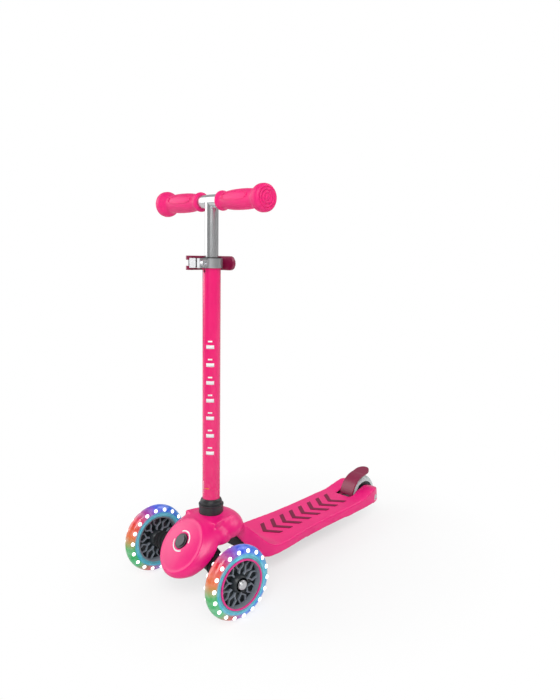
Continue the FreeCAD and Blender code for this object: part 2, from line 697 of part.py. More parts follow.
def grip(side):
    """A rubber grip: flange, waist, swelling barrel, neck and a round safety end."""
    start, end = float(size.grip_start), float(size.grip_end)
    reach = end - start
    bulb = float(size.grip_bulb_radius)
    stations = [
        (0.00, float(size.grip_flange_radius) - 1.5), (0.018, float(size.grip_flange_radius)),
        (0.045, float(size.grip_flange_radius)), (0.085, float(size.grip_waist_radius)),
        (0.26, float(size.grip_barrel_radius) - 0.7), (0.46, float(size.grip_barrel_radius)),
        (0.62, float(size.grip_barrel_radius) - 0.5), (0.745, float(size.grip_neck_radius)),
        (0.80, float(size.grip_neck_radius) + 1.6), (0.845, bulb - 1.6), (0.885, bulb),
        (0.935, bulb), (0.975, bulb - 1.8), (1.00, bulb - 5.5),
    ]
    points = [Vector(side * (start + share * reach), 0, radius) for share, radius in stations]
    curve = Part.BSplineCurve()
    curve.interpolate(points)
    inner = [Vector(side * end, 0, 0), Vector(side * start, 0, 0)]
    edges = [curve.toShape(), Part.makeLine(points[-1], inner[0]), Part.makeLine(inner[0], inner[1]),
             Part.makeLine(inner[1], points[0])]
    solid = Part.Face(Part.Wire(edges)).revolve(Vector(0, 0, 0), Vector(1, 0, 0), 360)
    bore_start = Vector(side * (start - 1), 0, 0)
    bore_length = float(crossbar_end) - start + 1
    bore = Part.makeCylinder(float(size.bar_radius), bore_length, bore_start, Vector(side, 0, 0))
    return solid.cut(bore)


bar_x, bar_y, bar_z = stem.point(0, 0, size.crossbar_height)
crossbar_frame = Frame(bar_x, bar_y, bar_z, -size.stem_lean)
for name, side in SIDES:
    node(f"grip_{name}", shaped(crossbar_frame, grip(side)))

# ---------------------------------------------------------------- quick clamp
band_low = size.column_height - size.band_height
band_radius = size.column_radius + size.band_wall
ear_width = size.ear_right + size.ear_left
band = cut(
    fuse(rod(stem, band_radius, size.band_height, (0, 0, band_low)),
         block(stem, ear_width, size.ear_reach - size.column_radius + 2, size.band_height,
               (-size.ear_right, -size.ear_reach, band_low))),
    rod(stem, size.column_radius, size.band_height * 3, (0, 0, band_low - size.band_height)),
    block(stem, size.ear_gap, size.ear_reach, size.band_height * 2,
          (-size.ear_gap / 2, -size.ear_reach - 1, band_low - 1)),
    rod(stem, size.clamp_bolt_radius, 60, (-30, -size.clamp_bolt_y, band_low + size.band_height / 2),
        "x"))
node("clamp_band", band)

clamp_level = band_low + size.band_height / 2
bolt_end = size.ear_left + size.clamp_nut_length - 2.5
barrel_x = -(size.ear_right + size.cam_washer + size.lever_cam_radius + 0.3)
node("clamp_nut", cut(
    rod(stem, size.clamp_nut_radius, size.clamp_nut_length,
        (size.ear_left, -size.clamp_bolt_y, clamp_level), "x"),
    rod(stem, size.clamp_bolt_radius, size.clamp_nut_length * 2,
        (size.ear_left - size.clamp_nut_length, -size.clamp_bolt_y, clamp_level), "x")))
node("clamp_bolt", rod(stem, size.clamp_bolt_radius, bolt_end - barrel_x - size.barrel_radius * 0.2,
                       (barrel_x + size.barrel_radius * 0.2, -size.clamp_bolt_y, clamp_level), "x"))
washer_reach = 6.0
node("cam_washer", cut(
    block(stem, size.cam_washer, washer_reach * 2, size.band_height,
          (-(size.ear_right + size.cam_washer), -size.clamp_bolt_y - washer_reach, band_low)),
    rod(stem, size.clamp_bolt_radius, 40, (-40, -size.clamp_bolt_y, clamp_level), "x")))
slot_height = size.band_height - 6.0
node("lever_barrel", cut(
    rod(stem, size.barrel_radius, size.lever_height - 2,
        (barrel_x, -size.clamp_bolt_y, clamp_level - size.lever_height / 2 + 1)),
    rod(stem, size.clamp_bolt_radius, 30,
        (barrel_x + size.barrel_radius * 0.2, -size.clamp_bolt_y, clamp_level), "x")))


def lever():
    """A fork on the barrel, then a flat strap that hugs the column and ends behind it."""
    height, thick = float(size.lever_height), float(size.lever_thickness)
    bottom = float(clamp_level) - height / 2
    pivot = Vector(float(barrel_x), -float(size.clamp_bolt_y), bottom)
    back = float(size.lever_back_y)
    tip = Vector(float(size.lever_tip_x), back, bottom)
    corner = 16.0
    side_x = float(barrel_x) - 2.0
    up = Vector(0, 0, 1)
    path = [Vector(pivot.x, pivot.y, bottom), Vector(side_x, 0, bottom),
            Vector(side_x, back - corner, bottom)]
    middle = Vector(side_x + corner * (1 - math.sqrt(0.5)), back - corner * (1 - math.sqrt(0.5)), bottom)
    bend_end = Vector(side_x + corner, back, bottom)
    spine = Part.Wire([Part.makeLine(path[0], path[1]), Part.makeLine(path[1], path[2]),
                       Part.Arc(path[2], middle, bend_end).toShape(), Part.makeLine(bend_end, tip)])
    strap = spine.makeOffset2D(thick / 2, openResult=False, fill=True)
    strap = strap.extrude(up * height)
    cam = Part.makeCylinder(float(size.lever_cam_radius), height, pivot, up)
    solid = strap.fuse(cam)
    slot = float(slot_height)
    mouth = Part.makeBox(40, 26, slot, Vector(pivot.x - 20, pivot.y - 13, float(clamp_level) - slot / 2))
    bore = Part.makeCylinder(float(size.barrel_radius + size.running_fit), height * 2,
                             pivot - up * (height / 2), up)
    return solid.cut(mouth).cut(bore).removeSplitter()


node("clamp_lever", shaped(stem, lever()))

# ---------------------------------------------------------------- deck moulding
def rounded_wire(corners):
    """A closed wire in the YZ plane from corners (y, z, corner radius)."""
    points = [Vector(0, float(y), float(z)) for y, z, _ in corners]
    arcs, starts, ends = [], [], []
    for i, (_, _, radius) in enumerate(corners):
        here, before, after = points[i], points[i - 1], points[(i + 1) % len(points)]
        back, on = (before - here).normalize(), (after - here).normalize()
        half_angle = back.getAngle(on) / 2
        reach = float(radius) / math.tan(half_angle)
        starts.append(here + back * reach)
        ends.append(here + on * reach)
        if float(radius) > 0:
            centre = here + (back + on).normalize() * (float(radius) / math.sin(half_angle))
            middle = centre + (here - centre).normalize() * float(radius)
            arcs.append([Part.Arc(starts[i], middle, ends[i]).toShape()])
        else:
            arcs.append([])
    edges = []
    for i in range(len(points)):
        edges += arcs[i] + [Part.makeLine(ends[i], starts[(i + 1) % len(points)])]
    return Part.Wire(edges)


def side_prism(corners):
    """The outline of the deck seen from the side, carried right across."""
    width = 300.0
    face = Part.Face(rounded_wire(corners))
    solid = face.extrude(Vector(width, 0, 0))
    solid.translate(Vector(-width / 2, 0, 0))
    return solid


tail_y = size.wheelbase + size.tail_overhang
seat_back_y = size.collar_y + size.collar_radius + 1.5
seat_back_z = size.collar_z - (size.collar_radius + 1.5) * 0.0986
crest_z = size.deck_height + size.tail_rise
skirt_z = size.deck_height - size.deck_drop


def deck_profile(inset):
    """Corners of the deck's side view; the inside of the moulding is open below."""
    front, end = size.arch_front_y, tail_y - inset
    slope_shift = inset * 0.55
    roof = size.neck_foot_y - size.neck_slope_run
    corners = [
        (front, size.collar_z - 1 - inset, 0), (roof - slope_shift, seat_back_z - inset, 14 - inset),
        (size.neck_foot_y - slope_shift, size.deck_height - inset, 52 + inset),
        (size.wheelbase - 50, size.deck_height - inset, 80 + inset),
        (size.wheelbase - 4, crest_z - inset, 26 - inset), (end, crest_z - 10 - inset, 9 - inset),
    ]
    if inset:
        return corners + [(end, -20, 0), (front, -20, 0)]
    return corners + [
        (end, skirt_z - 6, 9), (size.wheelbase - 25, skirt_z - 4, 40), (size.arch_foot_y, skirt_z, 30),
        (size.arch_foot_y - 52, size.arch_height, 14), (size.arch_front_y + 12, size.arch_height, 8),
        (front, size.arch_height - 6, 0),
    ]


def deck_plan(inset):
    """The deck seen from above, as one smooth outline on each side."""
    shoulder, waist = float(size.shoulder_half_width), float(size.waist_half_width)
    neck, tail = float(size.neck_half_width), float(size.tail_half_width)
    foot, axle, end = float(size.neck_foot_y), float(size.wheelbase), float(tail_y)
    stations = [
        (float(size.arch_front_y) - 2, neck + 12), (42, neck + 6), (66, neck + 2), (foot - 44, neck + 6),
        (foot - 25, (neck + shoulder) / 2 + 4), (foot - 5, shoulder - 1.5), (foot + 20, shoulder),
        (foot + 52, shoulder - 2.5), (foot + 92, waist + 2), (foot + 132, waist), (axle - 100, waist),
        (axle - 50, waist - 0.5), (axle - 20, (waist + tail) / 2 + 1), (axle, tail), (axle + 11, tail - 7),
        (end - 2.6, tail - 16), (end - 0.3, tail - 25), (end, 0),
    ]
    points = [Vector(half - inset, y, -30) for y, half in stations]
    points[-2].y, points[-1].y = end - 0.4 - inset, end - inset
    points[-3].y -= inset * 0.7
    points[-1].x = 0
    right = Part.BSplineCurve()
    right.interpolate(points)
    left = Part.BSplineCurve()
    left.interpolate([Vector(-p.x, p.y, p.z) for p in points])
    front = Part.makeLine(Vector(-points[0].x, points[0].y, -30), points[0])
    face = Part.Face(Part.Wire([front, right.toShape(), left.toShape()]))
    return face.extrude(Vector(0, 0, 200))


head_place = Placement(Vector(0, float(size.button_y), float(size.button_z)),
                       Rotation(Vector(1, 0, 0), float(size.steer_rake)))
stem_place = Placement(Vector(0, float(size.collar_y), float(size.collar_z)),
                       Rotation(Vector(1, 0, 0), -float(size.stem_lean)))


def in_head(shape):
    shape.Placement = head_place.multiply(shape.Placement)
    return shape


def rim_wire(inset, depth):
    """The head's open rim: a circle below, lower and flatter above."""
    radius, offset = float(size.rim_radius), float(size.rim_offset)
    unit = [(1.0, -0.03), (0.89, 0.31), (0.58, 0.58), (0.28, 0.72), (0.0, 0.745), (-0.28, 0.72),
            (-0.58, 0.58), (-0.89, 0.31), (-1.0, -0.03), (-0.88, -0.48), (-0.51, -0.87), (0.0, -1.0),
            (0.51, -0.87), (0.88, -0.48)]
    reach = radius - inset
    curve = Part.BSplineCurve()
    curve.interpolate([Vector(x * reach, offset + y * reach, -depth) for x, y in unit],
                      PeriodicFlag=True)
    return in_head(Part.Wire(curve.toShape()))


def face_circle(radius, offset, depth):
    centre = Vector(0, offset, -depth)
    return in_head(Part.Wire(Part.makeCircle(radius, centre, Vector(0, 0, 1))))


def head_form(inset):
    """Solid of the head: a domed face, a bowl that flares back to the rim, and a shoulder."""
    face, crown = float(size.face_radius), float(size.face_crown)
    offset, depth = -float(size.face_offset), float(size.rim_depth)
    opening = 0.6 if inset else 0.0
    sections = [
        face_circle(face - inset * 0.4, offset, crown + inset),
        face_circle(face + 5.5 - inset * 0.8, offset + 1.0, crown + 3.0 + inset * 0.8),
        face_circle(face + 12.0 - inset, offset + 6.5, crown + 11.0 + inset * 0.4),
        rim_wire(inset, depth + opening),
    ]
    bowl = Part.makeLoft(sections, True, False)
    top = Vector(0, 0, -inset)
    edge, low = Vector(face - inset * 0.4, 0, -crown - inset), Vector(0, 0, -crown - inset)
    bow = crown * (1 - ((face - inset * 0.4) / 2 / face) ** 2)
    half_way = Vector((face - inset * 0.4) / 2, 0, -crown - inset + bow)
    section = Part.Wire([Part.Arc(edge, half_way, top).toShape(), Part.makeLine(top, low),
                         Part.makeLine(low, edge)])
    dome = Part.Face(section).revolve(Vector(0, 0, 0), Vector(0, 0, 1), 360)
    dome.translate(Vector(0, offset, 0))
    drop, flare = float(size.shoulder_drop), float(size.shoulder_radius)
    collar_foot = float(size.collar_radius) + 1.2
    shoulder = Part.makeCone(flare - inset, collar_foot - inset * 0.8, drop - inset + opening,
                             Vector(0, 0, -drop - opening), Vector(0, 0, 1))
    shoulder.Placement = stem_place
    return bowl.fuse(in_head(dome)).fuse(shoulder)


def moulding(inset):
    deck = side_prism(deck_profile(inset)).common(deck_plan(inset))
    above_seat = Part.makeBox(300, 300, 100, Vector(-150, -150, -inset))
    above_seat.Placement = stem_place.multiply(above_seat.Placement)
    return deck.fuse(head_form(inset)).cut(above_seat)


wall = float(size.shell_wall)
outer_form = moulding(0.0)
cavity = moulding(wall)
slot_half = float(size.wheel_slot)
slot_start = float(size.wheelbase - size.rear_wheel_radius - 3)
slot = Part.makeBox(slot_half * 2, 200, 200, Vector(-slot_half, slot_start, -50))
slot_walls = Part.makeBox((slot_half + wall) * 2, 200, 200,
                          Vector(-slot_half - wall, slot_start - wall, -50))
brake_axis = Vector(0, float(size.wheelbase - size.brake_pivot_y), float(size.brake_pivot_z))
recess_half = slot_half + wall


def arc_band(start, sweep):
    """Part of a flat ring round the lock button, cut into the face."""
    inner, outer, depth = 16.4, 18.8, 6.0
    band = Part.makeCylinder(outer, depth, Vector(0, 0, -2.4), Vector(0, 0, 1), sweep).cut(
        Part.makeCylinder(inner, depth * 2, Vector(0, 0, -4), Vector(0, 0, 1)))
    band.rotate(Vector(0, 0, 0), Vector(0, 0, 1), start)
    return in_head(band)


def arm_relief():
    """The room that one truck arm sweeps below the head's rim, with some play."""
    depth_root = float(hub_top + size.truck_hub_length / 2)
    tip = inward(0) - Vector(0, 0, float(size.front_wheel_radius))
    depth_tip = -(tip.dot(into_head))
    root_x, tip_x, play = float(size.arm_root_x), float(arm_tip_x), 2.5
    rib = float(size.arm_rib_depth) + play
    top_root = depth_root - float(size.arm_root_radius) - rib
    top_tip = depth_tip - float(size.arm_tip_radius) - rib
    corners = [Vector(root_x, 0, -top_root), Vector(tip_x, 0, -top_tip), Vector(tip_x, 0, -80),
               Vector(root_x, 0, -80)]
    wedge = Part.Face(Part.makePolygon(corners + corners[:1]))
    sweep = wedge.revolve(Vector(0, 0, 0), Vector(0, 0, 1), 76)
    sweep.rotate(Vector(0, 0, 0), Vector(0, 0, 1), -46)
    return sweep


reliefs = [in_head(arm_relief()), in_head(arm_relief().mirror(Vector(0, 0, 0), Vector(1, 0, 0)))]
arcs = [arc_band(start, 120).common(outer_form) for start in (5, 185)]
button_hole = float(size.button_radius + size.bezel_width) + 0.15
hole = in_head(Part.makeCylinder(button_hole, 30, Vector(0, 0, -20)))
column_hole = Part.makeCylinder(float(size.column_radius), 80, Vector(0, 0, -60))
column_hole.Placement = stem_place
axle_hole = Part.makeCylinder(6.2, 300, Vector(-150, float(size.wheelbase), float(size.rear_wheel_radius)),
                              Vector(1, 0, 0))
recess_front = brake_axis.y - float(size.brake_knuckle_radius) - 3
brake_recess = Part.makeBox(recess_half * 2, slot_start + 6 - recess_front, 60,
                            Vector(-recess_half, recess_front, float(skirt_z) - 4))
shell = outer_form.cut(cavity.cut(slot_walls)).cut(
    [slot, hole, column_hole, axle_hole, brake_recess] + arcs + reliefs)
node("deck_shell", shaped(ground, shell.removeSplitter()))
node("lock_arcs", shaped(ground, Part.makeCompound(arcs)))


def chevron(y, reach, width):
    """One V of the anti-slip pattern, its point towards the rider's toes."""
    points = [(0, y), (reach, y + reach * 0.62), (reach, y + reach * 0.62 + width), (0, y + width),
              (-reach, y + reach * 0.62 + width), (-reach, y + reach * 0.62)]
    wire = Part.makePolygon([Vector(x, along, float(size.deck_height)) for x, along in
                             points + points[:1]])
    return Part.Face(wire).extrude(Vector(0, 0, float(size.strip_height)))


strip_pitch, strip_count = 25.0, 8
strips = [chevron(float(size.neck_foot_y) + 28 + strip_pitch * i, 27.0, 9.0) for i in range(strip_count)]
node("grip_strips", shaped(ground, Part.makeCompound(strips)))

# ---------------------------------------------------------------- frame
roof_z = size.deck_height - size.shell_wall
frame_bottom = roof_z - size.frame_depth
frame_end = size.wheelbase - size.brake_pivot_y - size.brake_knuckle_radius - 2


def in_side_view(depth, height):
    """Side-view corner (y, z) at a depth and height over the steering axis."""
    low, high = sine(size.steer_rake), cosine(size.steer_rake)
    return (size.button_y + depth * low + height * high, size.button_z - depth * high + height * low)


seat_height = size.spring_seat_height
roof_drop = size.collar_z - size.shell_wall - 8.5
neck_beam = plate(ground, [
    in_side_view(size.boss_front + 1, seat_height), (size.collar_y + 15, roof_drop),
    (size.neck_foot_y - 12, roof_z), (frame_end, roof_z), (frame_end, frame_bottom),
    (size.arch_foot_y + 5, frame_bottom), (size.arch_foot_y - 29, frame_bottom + 28),
    in_side_view(hub_bottom + 14, seat_height - 3), in_side_view(hub_bottom, seat_height),
], size.frame_half_width * 2, "YZ_Plane")
web = plate(ground, [
    in_side_view(size.boss_front + 1, 8), in_side_view(size.boss_front + 1, seat_height + 2),
    in_side_view(size.boss_front + size.boss_length - 1, seat_height + 2),
    in_side_view(size.boss_front + size.boss_length - 1, 8)], size.boss_radius * 1.4, "YZ_Plane")
boss = rod(steer, size.boss_radius, size.boss_length, (0, 0, -(size.boss_front + size.boss_length)))
socket = rod(stem, size.column_radius + size.socket_wall, size.column_sunk + 3 - size.shell_wall - 0.2,
             (0, 0, -(size.column_sunk + 3)))
fork_width, fork_front, fork_end = 6.0, 60.0, 9.0
fork_height = size.frame_depth - 2
forks = [block(ground, fork_width, size.wheelbase + fork_end - (frame_end - fork_front), fork_height,
               (outboard(side, size.wheel_slot + size.shell_wall, fork_width), frame_end - fork_front,
                roof_z - fork_height))
         for _, side in SIDES]
pocket_length, pocket_pitch, first_pocket = 36.0, 41.0, 12.0
pocket_count = 5
pockets = [block(ground, size.frame_half_width - 8.5, pocket_length, size.frame_depth,
                 (outboard(side, 5, size.frame_half_width - 8.5),
                  size.neck_foot_y + first_pocket + pocket_pitch * i, frame_bottom - 3))
           for i in range(pocket_count) for _, side in SIDES]
screw_places = [size.neck_foot_y + first_pocket + pocket_pitch * i - 2.5 for i in range(pocket_count + 1)]
screw_holes = [rod(ground, 2.0, 60, (0, y, frame_bottom - 10)) for y in screw_places]
screw_seats = [rod(ground, 4.0, 13, (0, y, frame_bottom - 10)) for y in screw_places]
kingpin_way = rod(steer, size.kingpin_radius, 80, (0, 0, -80))
head_way = rod(steer, size.kingpin_head_radius, 30, (0, 0, -head_bottom))
dog_way = rod(steer, size.dog_radius + 0.1, 60, (0, size.dog_offset, -60))
column_way = rod(stem, size.column_radius, 100, (0, 0, -size.column_sunk))
axle_way = rod(ground, size.axle_radius, 120, (-60, size.wheelbase, size.rear_wheel_radius), "x")
pin_way = rod(ground, size.brake_pin_radius, 120,
              (-60, size.wheelbase - size.brake_pivot_y, size.brake_pivot_z), "x")
node("underframe", cut(fuse(neck_beam, web, boss, socket, *forks), *pockets, *screw_holes, *screw_seats,
                       kingpin_way, head_way, dog_way, column_way, axle_way, pin_way))
node("underframe_screws", group(*(fuse(rod(ground, 2.0, size.frame_depth - 3, (0, y, frame_bottom + 3)),
                                       rod(ground, 3.8, 2.2, (0, y, frame_bottom + 0.8)))
                                  for y in screw_places)))
bezel_top = 0.6
node("button_bezel", ring(steer, size.button_radius + 0.15 + size.bezel_width, size.button_radius + 0.15,
                          size.shell_wall + 1.0 + bezel_top, (0, 0, -(size.shell_wall + 1.0))))

# ---------------------------------------------------------------- rear axle
axle_reach = size.tail_half_width - 3
rear_bolt_head = 3.0
node("rear_axle", fuse(
    rod(ground, size.axle_radius, axle_reach * 2 - rear_bolt_head,
        (-axle_reach, size.wheelbase, size.rear_wheel_radius), "x"),
    rod(ground, 6.0, rear_bolt_head, (axle_reach - rear_bolt_head, size.wheelbase, size.rear_wheel_radius),
        "x")))
node("rear_axle_nut", ring(ground, 6.0, size.axle_radius, 4.0,
                           (-(axle_reach - 0.5), size.wheelbase, size.rear_wheel_radius), "x"))
spacer_length = size.wheel_slot + size.shell_wall - hub_half - size.end_play
node("rear_spacers", group(*(
    ring(ground, size.axle_radius + 2, size.axle_radius, spacer_length,
         (outboard(side, hub_half + size.end_play, spacer_length), size.wheelbase,
          size.rear_wheel_radius), "x") for _, side in SIDES)))

# ---------------------------------------------------------------- brake
pad_radius = size.rear_wheel_radius + size.brake_clearance
fender_radius = pad_radius + size.brake_pad
rear_axle_point = Vector(0, float(size.wheelbase), float(size.rear_wheel_radius))


def round_axle(radius, angle):
    """Point in the side view round the rear axle; 0 degrees is straight back, 90 is up."""
    turn = math.radians(angle)
    return rear_axle_point + Vector(0, math.cos(turn), math.sin(turn)) * float(radius)


def fender():
    """A curved plate over the wheel that ends in a raised, rounded tread for the foot."""
    outer = fender_radius + size.brake_thickness
    half = float(size.brake_half_width)
    tip = Vector(0, rear_axle_point.y + float(size.brake_tip_y), float(size.brake_tip_z))
    under = tip - Vector(0, 0, float(size.brake_thickness) + 0.6)
    start, crown = 171, 92
    edges = [
        Part.Arc(round_axle(outer, start), round_axle(outer, 130), round_axle(outer, crown)).toShape(),
        Part.makeLine(round_axle(outer, crown), tip), Part.makeLine(tip, under),
        Part.makeLine(under, round_axle(fender_radius, crown)),
        Part.Arc(round_axle(fender_radius, crown), round_axle(fender_radius, 130),
                 round_axle(fender_radius, start)).toShape(),
        Part.makeLine(round_axle(fender_radius, start), round_axle(outer, start))]
    plate_solid = Part.Face(Part.Wire(edges)).extrude(Vector(half * 2, 0, 0))
    plate_solid.translate(Vector(-half, 0, 0))
    round_start = tip.y - half
    plan = Part.makeBox(half * 2, round_start - 300, 200, Vector(-half, 300, 0)).fuse(
        Part.makeCylinder(half, 200, Vector(0, round_start, 0)))
    solid = plate_solid.common(plan)
    knuckle_gap = 9.0
    for low in (knuckle_gap, -half):
        solid = solid.fuse(Part.makeCylinder(float(size.brake_knuckle_radius), half - knuckle_gap,
                                             Vector(low, brake_axis.y, brake_axis.z), Vector(1, 0, 0)))
    middle = Part.makeCylinder(float(size.brake_knuckle_radius) + 0.6, knuckle_gap * 2,
                               Vector(-knuckle_gap, brake_axis.y, brake_axis.z), Vector(1, 0, 0))
    bore = Part.makeCylinder(float(size.brake_pin_radius + size.running_fit), half * 4,
                             Vector(-half * 2, brake_axis.y, brake_axis.z), Vector(1, 0, 0))
    return solid.cut(middle).cut(bore).removeSplitter()


node("brake_fender", shaped(ground, fender()))
pad_half = float(size.brake_half_width) - 3
pad_edges = [
    Part.Arc(round_axle(fender_radius, 140), round_axle(fender_radius, 120),
             round_axle(fender_radius, 97)).toShape(),
    Part.makeLine(round_axle(fender_radius, 97), round_axle(pad_radius, 97)),
    Part.Arc(round_axle(pad_radius, 97), round_axle(pad_radius, 120),
             round_axle(pad_radius, 140)).toShape(),
    Part.makeLine(round_axle(pad_radius, 140), round_axle(fender_radius, 140))]
pad = Part.Face(Part.Wire(pad_edges)).extrude(Vector(pad_half * 2, 0, 0))
pad.translate(Vector(-pad_half, 0, 0))
node("brake_pad", shaped(ground, pad))
pin_reach = size.wheel_slot + size.shell_wall + fork_width - 0.5
node("brake_pin", rod(ground, size.brake_pin_radius, pin_reach * 2,
                      (-pin_reach, size.wheelbase - size.brake_pivot_y, size.brake_pivot_z), "x"))
coil = spring(1.0, 4.3, 16.0, 7)
coil.Placement = Placement(brake_axis - Vector(8, 0, 0), Rotation(Vector(0, 0, 1), Vector(1, 0, 0)))
node("brake_spring", shaped(ground, coil))

# ---------------------------------------------------------------- checks and export
doc.recompute()
failed = [item.Label for item in doc.Objects if "Invalid" in item.State or "Error" in item.State]
if failed:
    raise RuntimeError(f"these objects failed: {failed}")
for name, piece in nodes.items():
    if piece.Shape.isNull() or not piece.Shape.isValid() or not piece.Shape.Solids:
        raise RuntimeError(f"{name} has no sound solid")

os.makedirs("parts", exist_ok=True)
for name, piece in nodes.items():
    piece.Shape.exportStep(os.path.join("parts", f"{name}.step"))
    print(f"{name}: {len(piece.Shape.Solids)} solid(s), {piece.Shape.Volume:.0f} mm3")
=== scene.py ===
"""Looks of a child's three-wheeled kick scooter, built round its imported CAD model."""
import math

import bmesh
import bpy
from mathutils import Matrix, Vector


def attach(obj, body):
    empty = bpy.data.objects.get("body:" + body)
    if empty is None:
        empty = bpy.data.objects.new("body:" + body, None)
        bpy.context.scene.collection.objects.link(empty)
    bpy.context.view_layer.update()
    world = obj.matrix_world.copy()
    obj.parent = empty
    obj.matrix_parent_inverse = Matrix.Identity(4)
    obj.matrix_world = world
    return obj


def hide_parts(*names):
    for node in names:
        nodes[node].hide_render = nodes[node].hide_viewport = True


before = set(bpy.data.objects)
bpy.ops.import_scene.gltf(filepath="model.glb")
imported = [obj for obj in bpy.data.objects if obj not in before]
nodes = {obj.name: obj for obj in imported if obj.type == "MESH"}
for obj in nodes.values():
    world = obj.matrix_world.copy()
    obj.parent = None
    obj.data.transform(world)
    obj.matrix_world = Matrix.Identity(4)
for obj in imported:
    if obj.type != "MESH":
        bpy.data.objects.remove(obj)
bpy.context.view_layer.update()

# ---------------------------------------------------------------- deck moulding
# One piece from the round head, over the neck, to the tail beside the rear wheel.  Injection
# moulded in coloured plastic with soft edges everywhere, and screwed down onto the black frame.
PINK = (0.90, 0.0, 0.20)


def moulded(name, colour, roughness=0.4, metallic=0.0, grain=900.0, depth=0.04, coat=0.0, tint=0.10,
            stretch=(1.0, 1.0, 1.0)):
    """A finish whose shade, gloss and fine grain vary a little over the surface."""
    material = bpy.data.materials.new(name)
    material.use_nodes = True
    tree = material.node_tree
    shader = tree.nodes["Principled BSDF"]
    shader.inputs["Metallic"].default_value = metallic
    shader.inputs["Coat Weight"].default_value = coat
    shader.inputs["Coat Roughness"].default_value = 0.12
    place = tree.nodes.new("ShaderNodeTexCoord")
    scaled = tree.nodes.new("ShaderNodeMapping")
    scaled.inputs["Scale"].default_value = stretch
    tree.links.new(place.outputs["Object"], scaled.inputs["Vector"])
    broad = tree.nodes.new("ShaderNodeTexNoise")
    broad.inputs["Scale"].default_value = 22.0
    broad.inputs["Detail"].default_value = 3.0
    fine = tree.nodes.new("ShaderNodeTexNoise")
    fine.inputs["Scale"].default_value = grain
    fine.inputs["Detail"].default_value = 4.0
    for noise in (broad, fine):
        tree.links.new(scaled.outputs["Vector"], noise.inputs["Vector"])
    shades = tree.nodes.new("ShaderNodeValToRGB")
    shades.color_ramp.elements[0].position = 0.3
    shades.color_ramp.elements[1].position = 0.7
    shades.color_ramp.elements[0].color = (*(c * (1 - tint) for c in colour), 1)
    shades.color_ramp.elements[1].color = (*(min(1.0, c * (1 + tint) + 0.004) for c in colour), 1)
    tree.links.new(broad.outputs["Fac"], shades.inputs["Fac"])
    tree.links.new(shades.outputs["Color"], shader.inputs["Base Color"])
    gloss = tree.nodes.new("ShaderNodeMapRange")
    gloss.inputs["To Min"].default_value = roughness * 0.85
    gloss.inputs["To Max"].default_value = min(1.0, roughness * 1.15)
    tree.links.new(fine.outputs["Fac"], gloss.inputs["Value"])
    tree.links.new(gloss.outputs["Result"], shader.inputs["Roughness"])
    bump = tree.nodes.new("ShaderNodeBump")
    bump.inputs["Strength"].default_value = depth
    bump.inputs["Distance"].default_value = 0.0004
    tree.links.new(fine.outputs["Fac"], bump.inputs["Height"])
    tree.links.new(bump.outputs["Normal"], shader.inputs["Normal"])
    return material


def dress(material, *names):
    """Give CAD nodes their finish."""
    for name in names:
        mesh = nodes[name].data
        mesh.materials.clear()
        mesh.materials.append(material)


def evaluated_mesh(piece):
    """The piece's mesh with its modifiers applied."""
    graph = bpy.context.evaluated_depsgraph_get()
    return bpy.data.meshes.new_from_object(piece.evaluated_get(graph))


def fit_out(name, mesh, material, body, slot, *replaced):
    """Put a finished mesh in the scene, on its body, in its finish."""
    piece = bpy.data.objects.new(name, mesh)
    bpy.context.scene.collection.objects.link(piece)
    mesh.materials.clear()
    mesh.materials.append(material)
    for face in mesh.polygons:
        face.use_smooth = True
    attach(piece, body)
    if replaced:
        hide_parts(*replaced)
    return piece


pink_moulding = moulded("pink_moulding", PINK, roughness=0.36, grain=1400.0, depth=0.05, coat=0.1,
                        tint=0.05)
shell_mesh = nodes["deck_shell"].data.copy()
shell_form = bmesh.new()
shell_form.from_mesh(shell_mesh)

# the cheeks carry the round head back into the neck, above the truck's arms
CHEEKS = (((0, -0.1775, 0.0992), (0.060, 0.035, 0.0285)),
          ((0, -0.1530, 0.1030), (0.054, 0.046, 0.0285)))
CHEEK_UNDERSIDE = 0.0955
cheeks = bmesh.new()
for middle, reach in CHEEKS:
    bmesh.ops.create_icosphere(cheeks, subdivisions=5, radius=1.0,
                               matrix=Matrix.Translation(middle) @ Matrix.Diagonal((*reach, 1)))
cut_away = bmesh.ops.bisect_plane(cheeks, geom=cheeks.verts[:] + cheeks.edges[:] + cheeks.faces[:],
                                  plane_co=(0, 0, CHEEK_UNDERSIDE), plane_no=(0, 0, -1),
                                  clear_outer=True)
bmesh.ops.holes_fill(cheeks,
                     edges=[e for e in cut_away["geom_cut"] if isinstance(e, bmesh.types.BMEdge)])
cheek_mesh = bpy.data.meshes.new("cheeks")
cheeks.to_mesh(cheek_mesh)
cheeks.free()
shell_form.from_mesh(cheek_mesh)

# a soft raised rim runs round the flat face of the head
RAKE = math.radians(48)
FACE_CENTRE = (0, -0.22485, 0.1005)
RIM_REACH, RIM_THICKNESS = 0.0462, 0.0021
face_place = Matrix.Translation(FACE_CENTRE) @ Matrix.Rotation(RAKE, 4, "X")
face_rim = []
for i in range(96):
    around = 2 * math.pi * i / 96
    tube = []
    for j in range(12):
        about = 2 * math.pi * j / 12
        reach = RIM_REACH + RIM_THICKNESS * math.cos(about)
        tube.append(shell_form.verts.new(face_place @ Vector(
            (reach * math.cos(around), reach * math.sin(around) - 0.0065,
             -0.0062 + RIM_THICKNESS * math.sin(about)))))
    face_rim.append(tube)
for i in range(96):
    for j in range(12):
        after, next_one = (i + 1) % 96, (j + 1) % 12
        shell_form.faces.new((face_rim[i][j], face_rim[after][j], face_rim[after][next_one],
                              face_rim[i][next_one]))
shell_form.to_mesh(shell_mesh)
shell_form.free()
rough_shell = bpy.data.objects.new("rough_shell", shell_mesh)
bpy.context.scene.collection.objects.link(rough_shell)
remesh = rough_shell.modifiers.new("even", "REMESH")
remesh.mode = "VOXEL"
remesh.voxel_size = 0.0015
soften = rough_shell.modifiers.new("soften", "SMOOTH")
soften.factor = 0.5
soften.iterations = 18
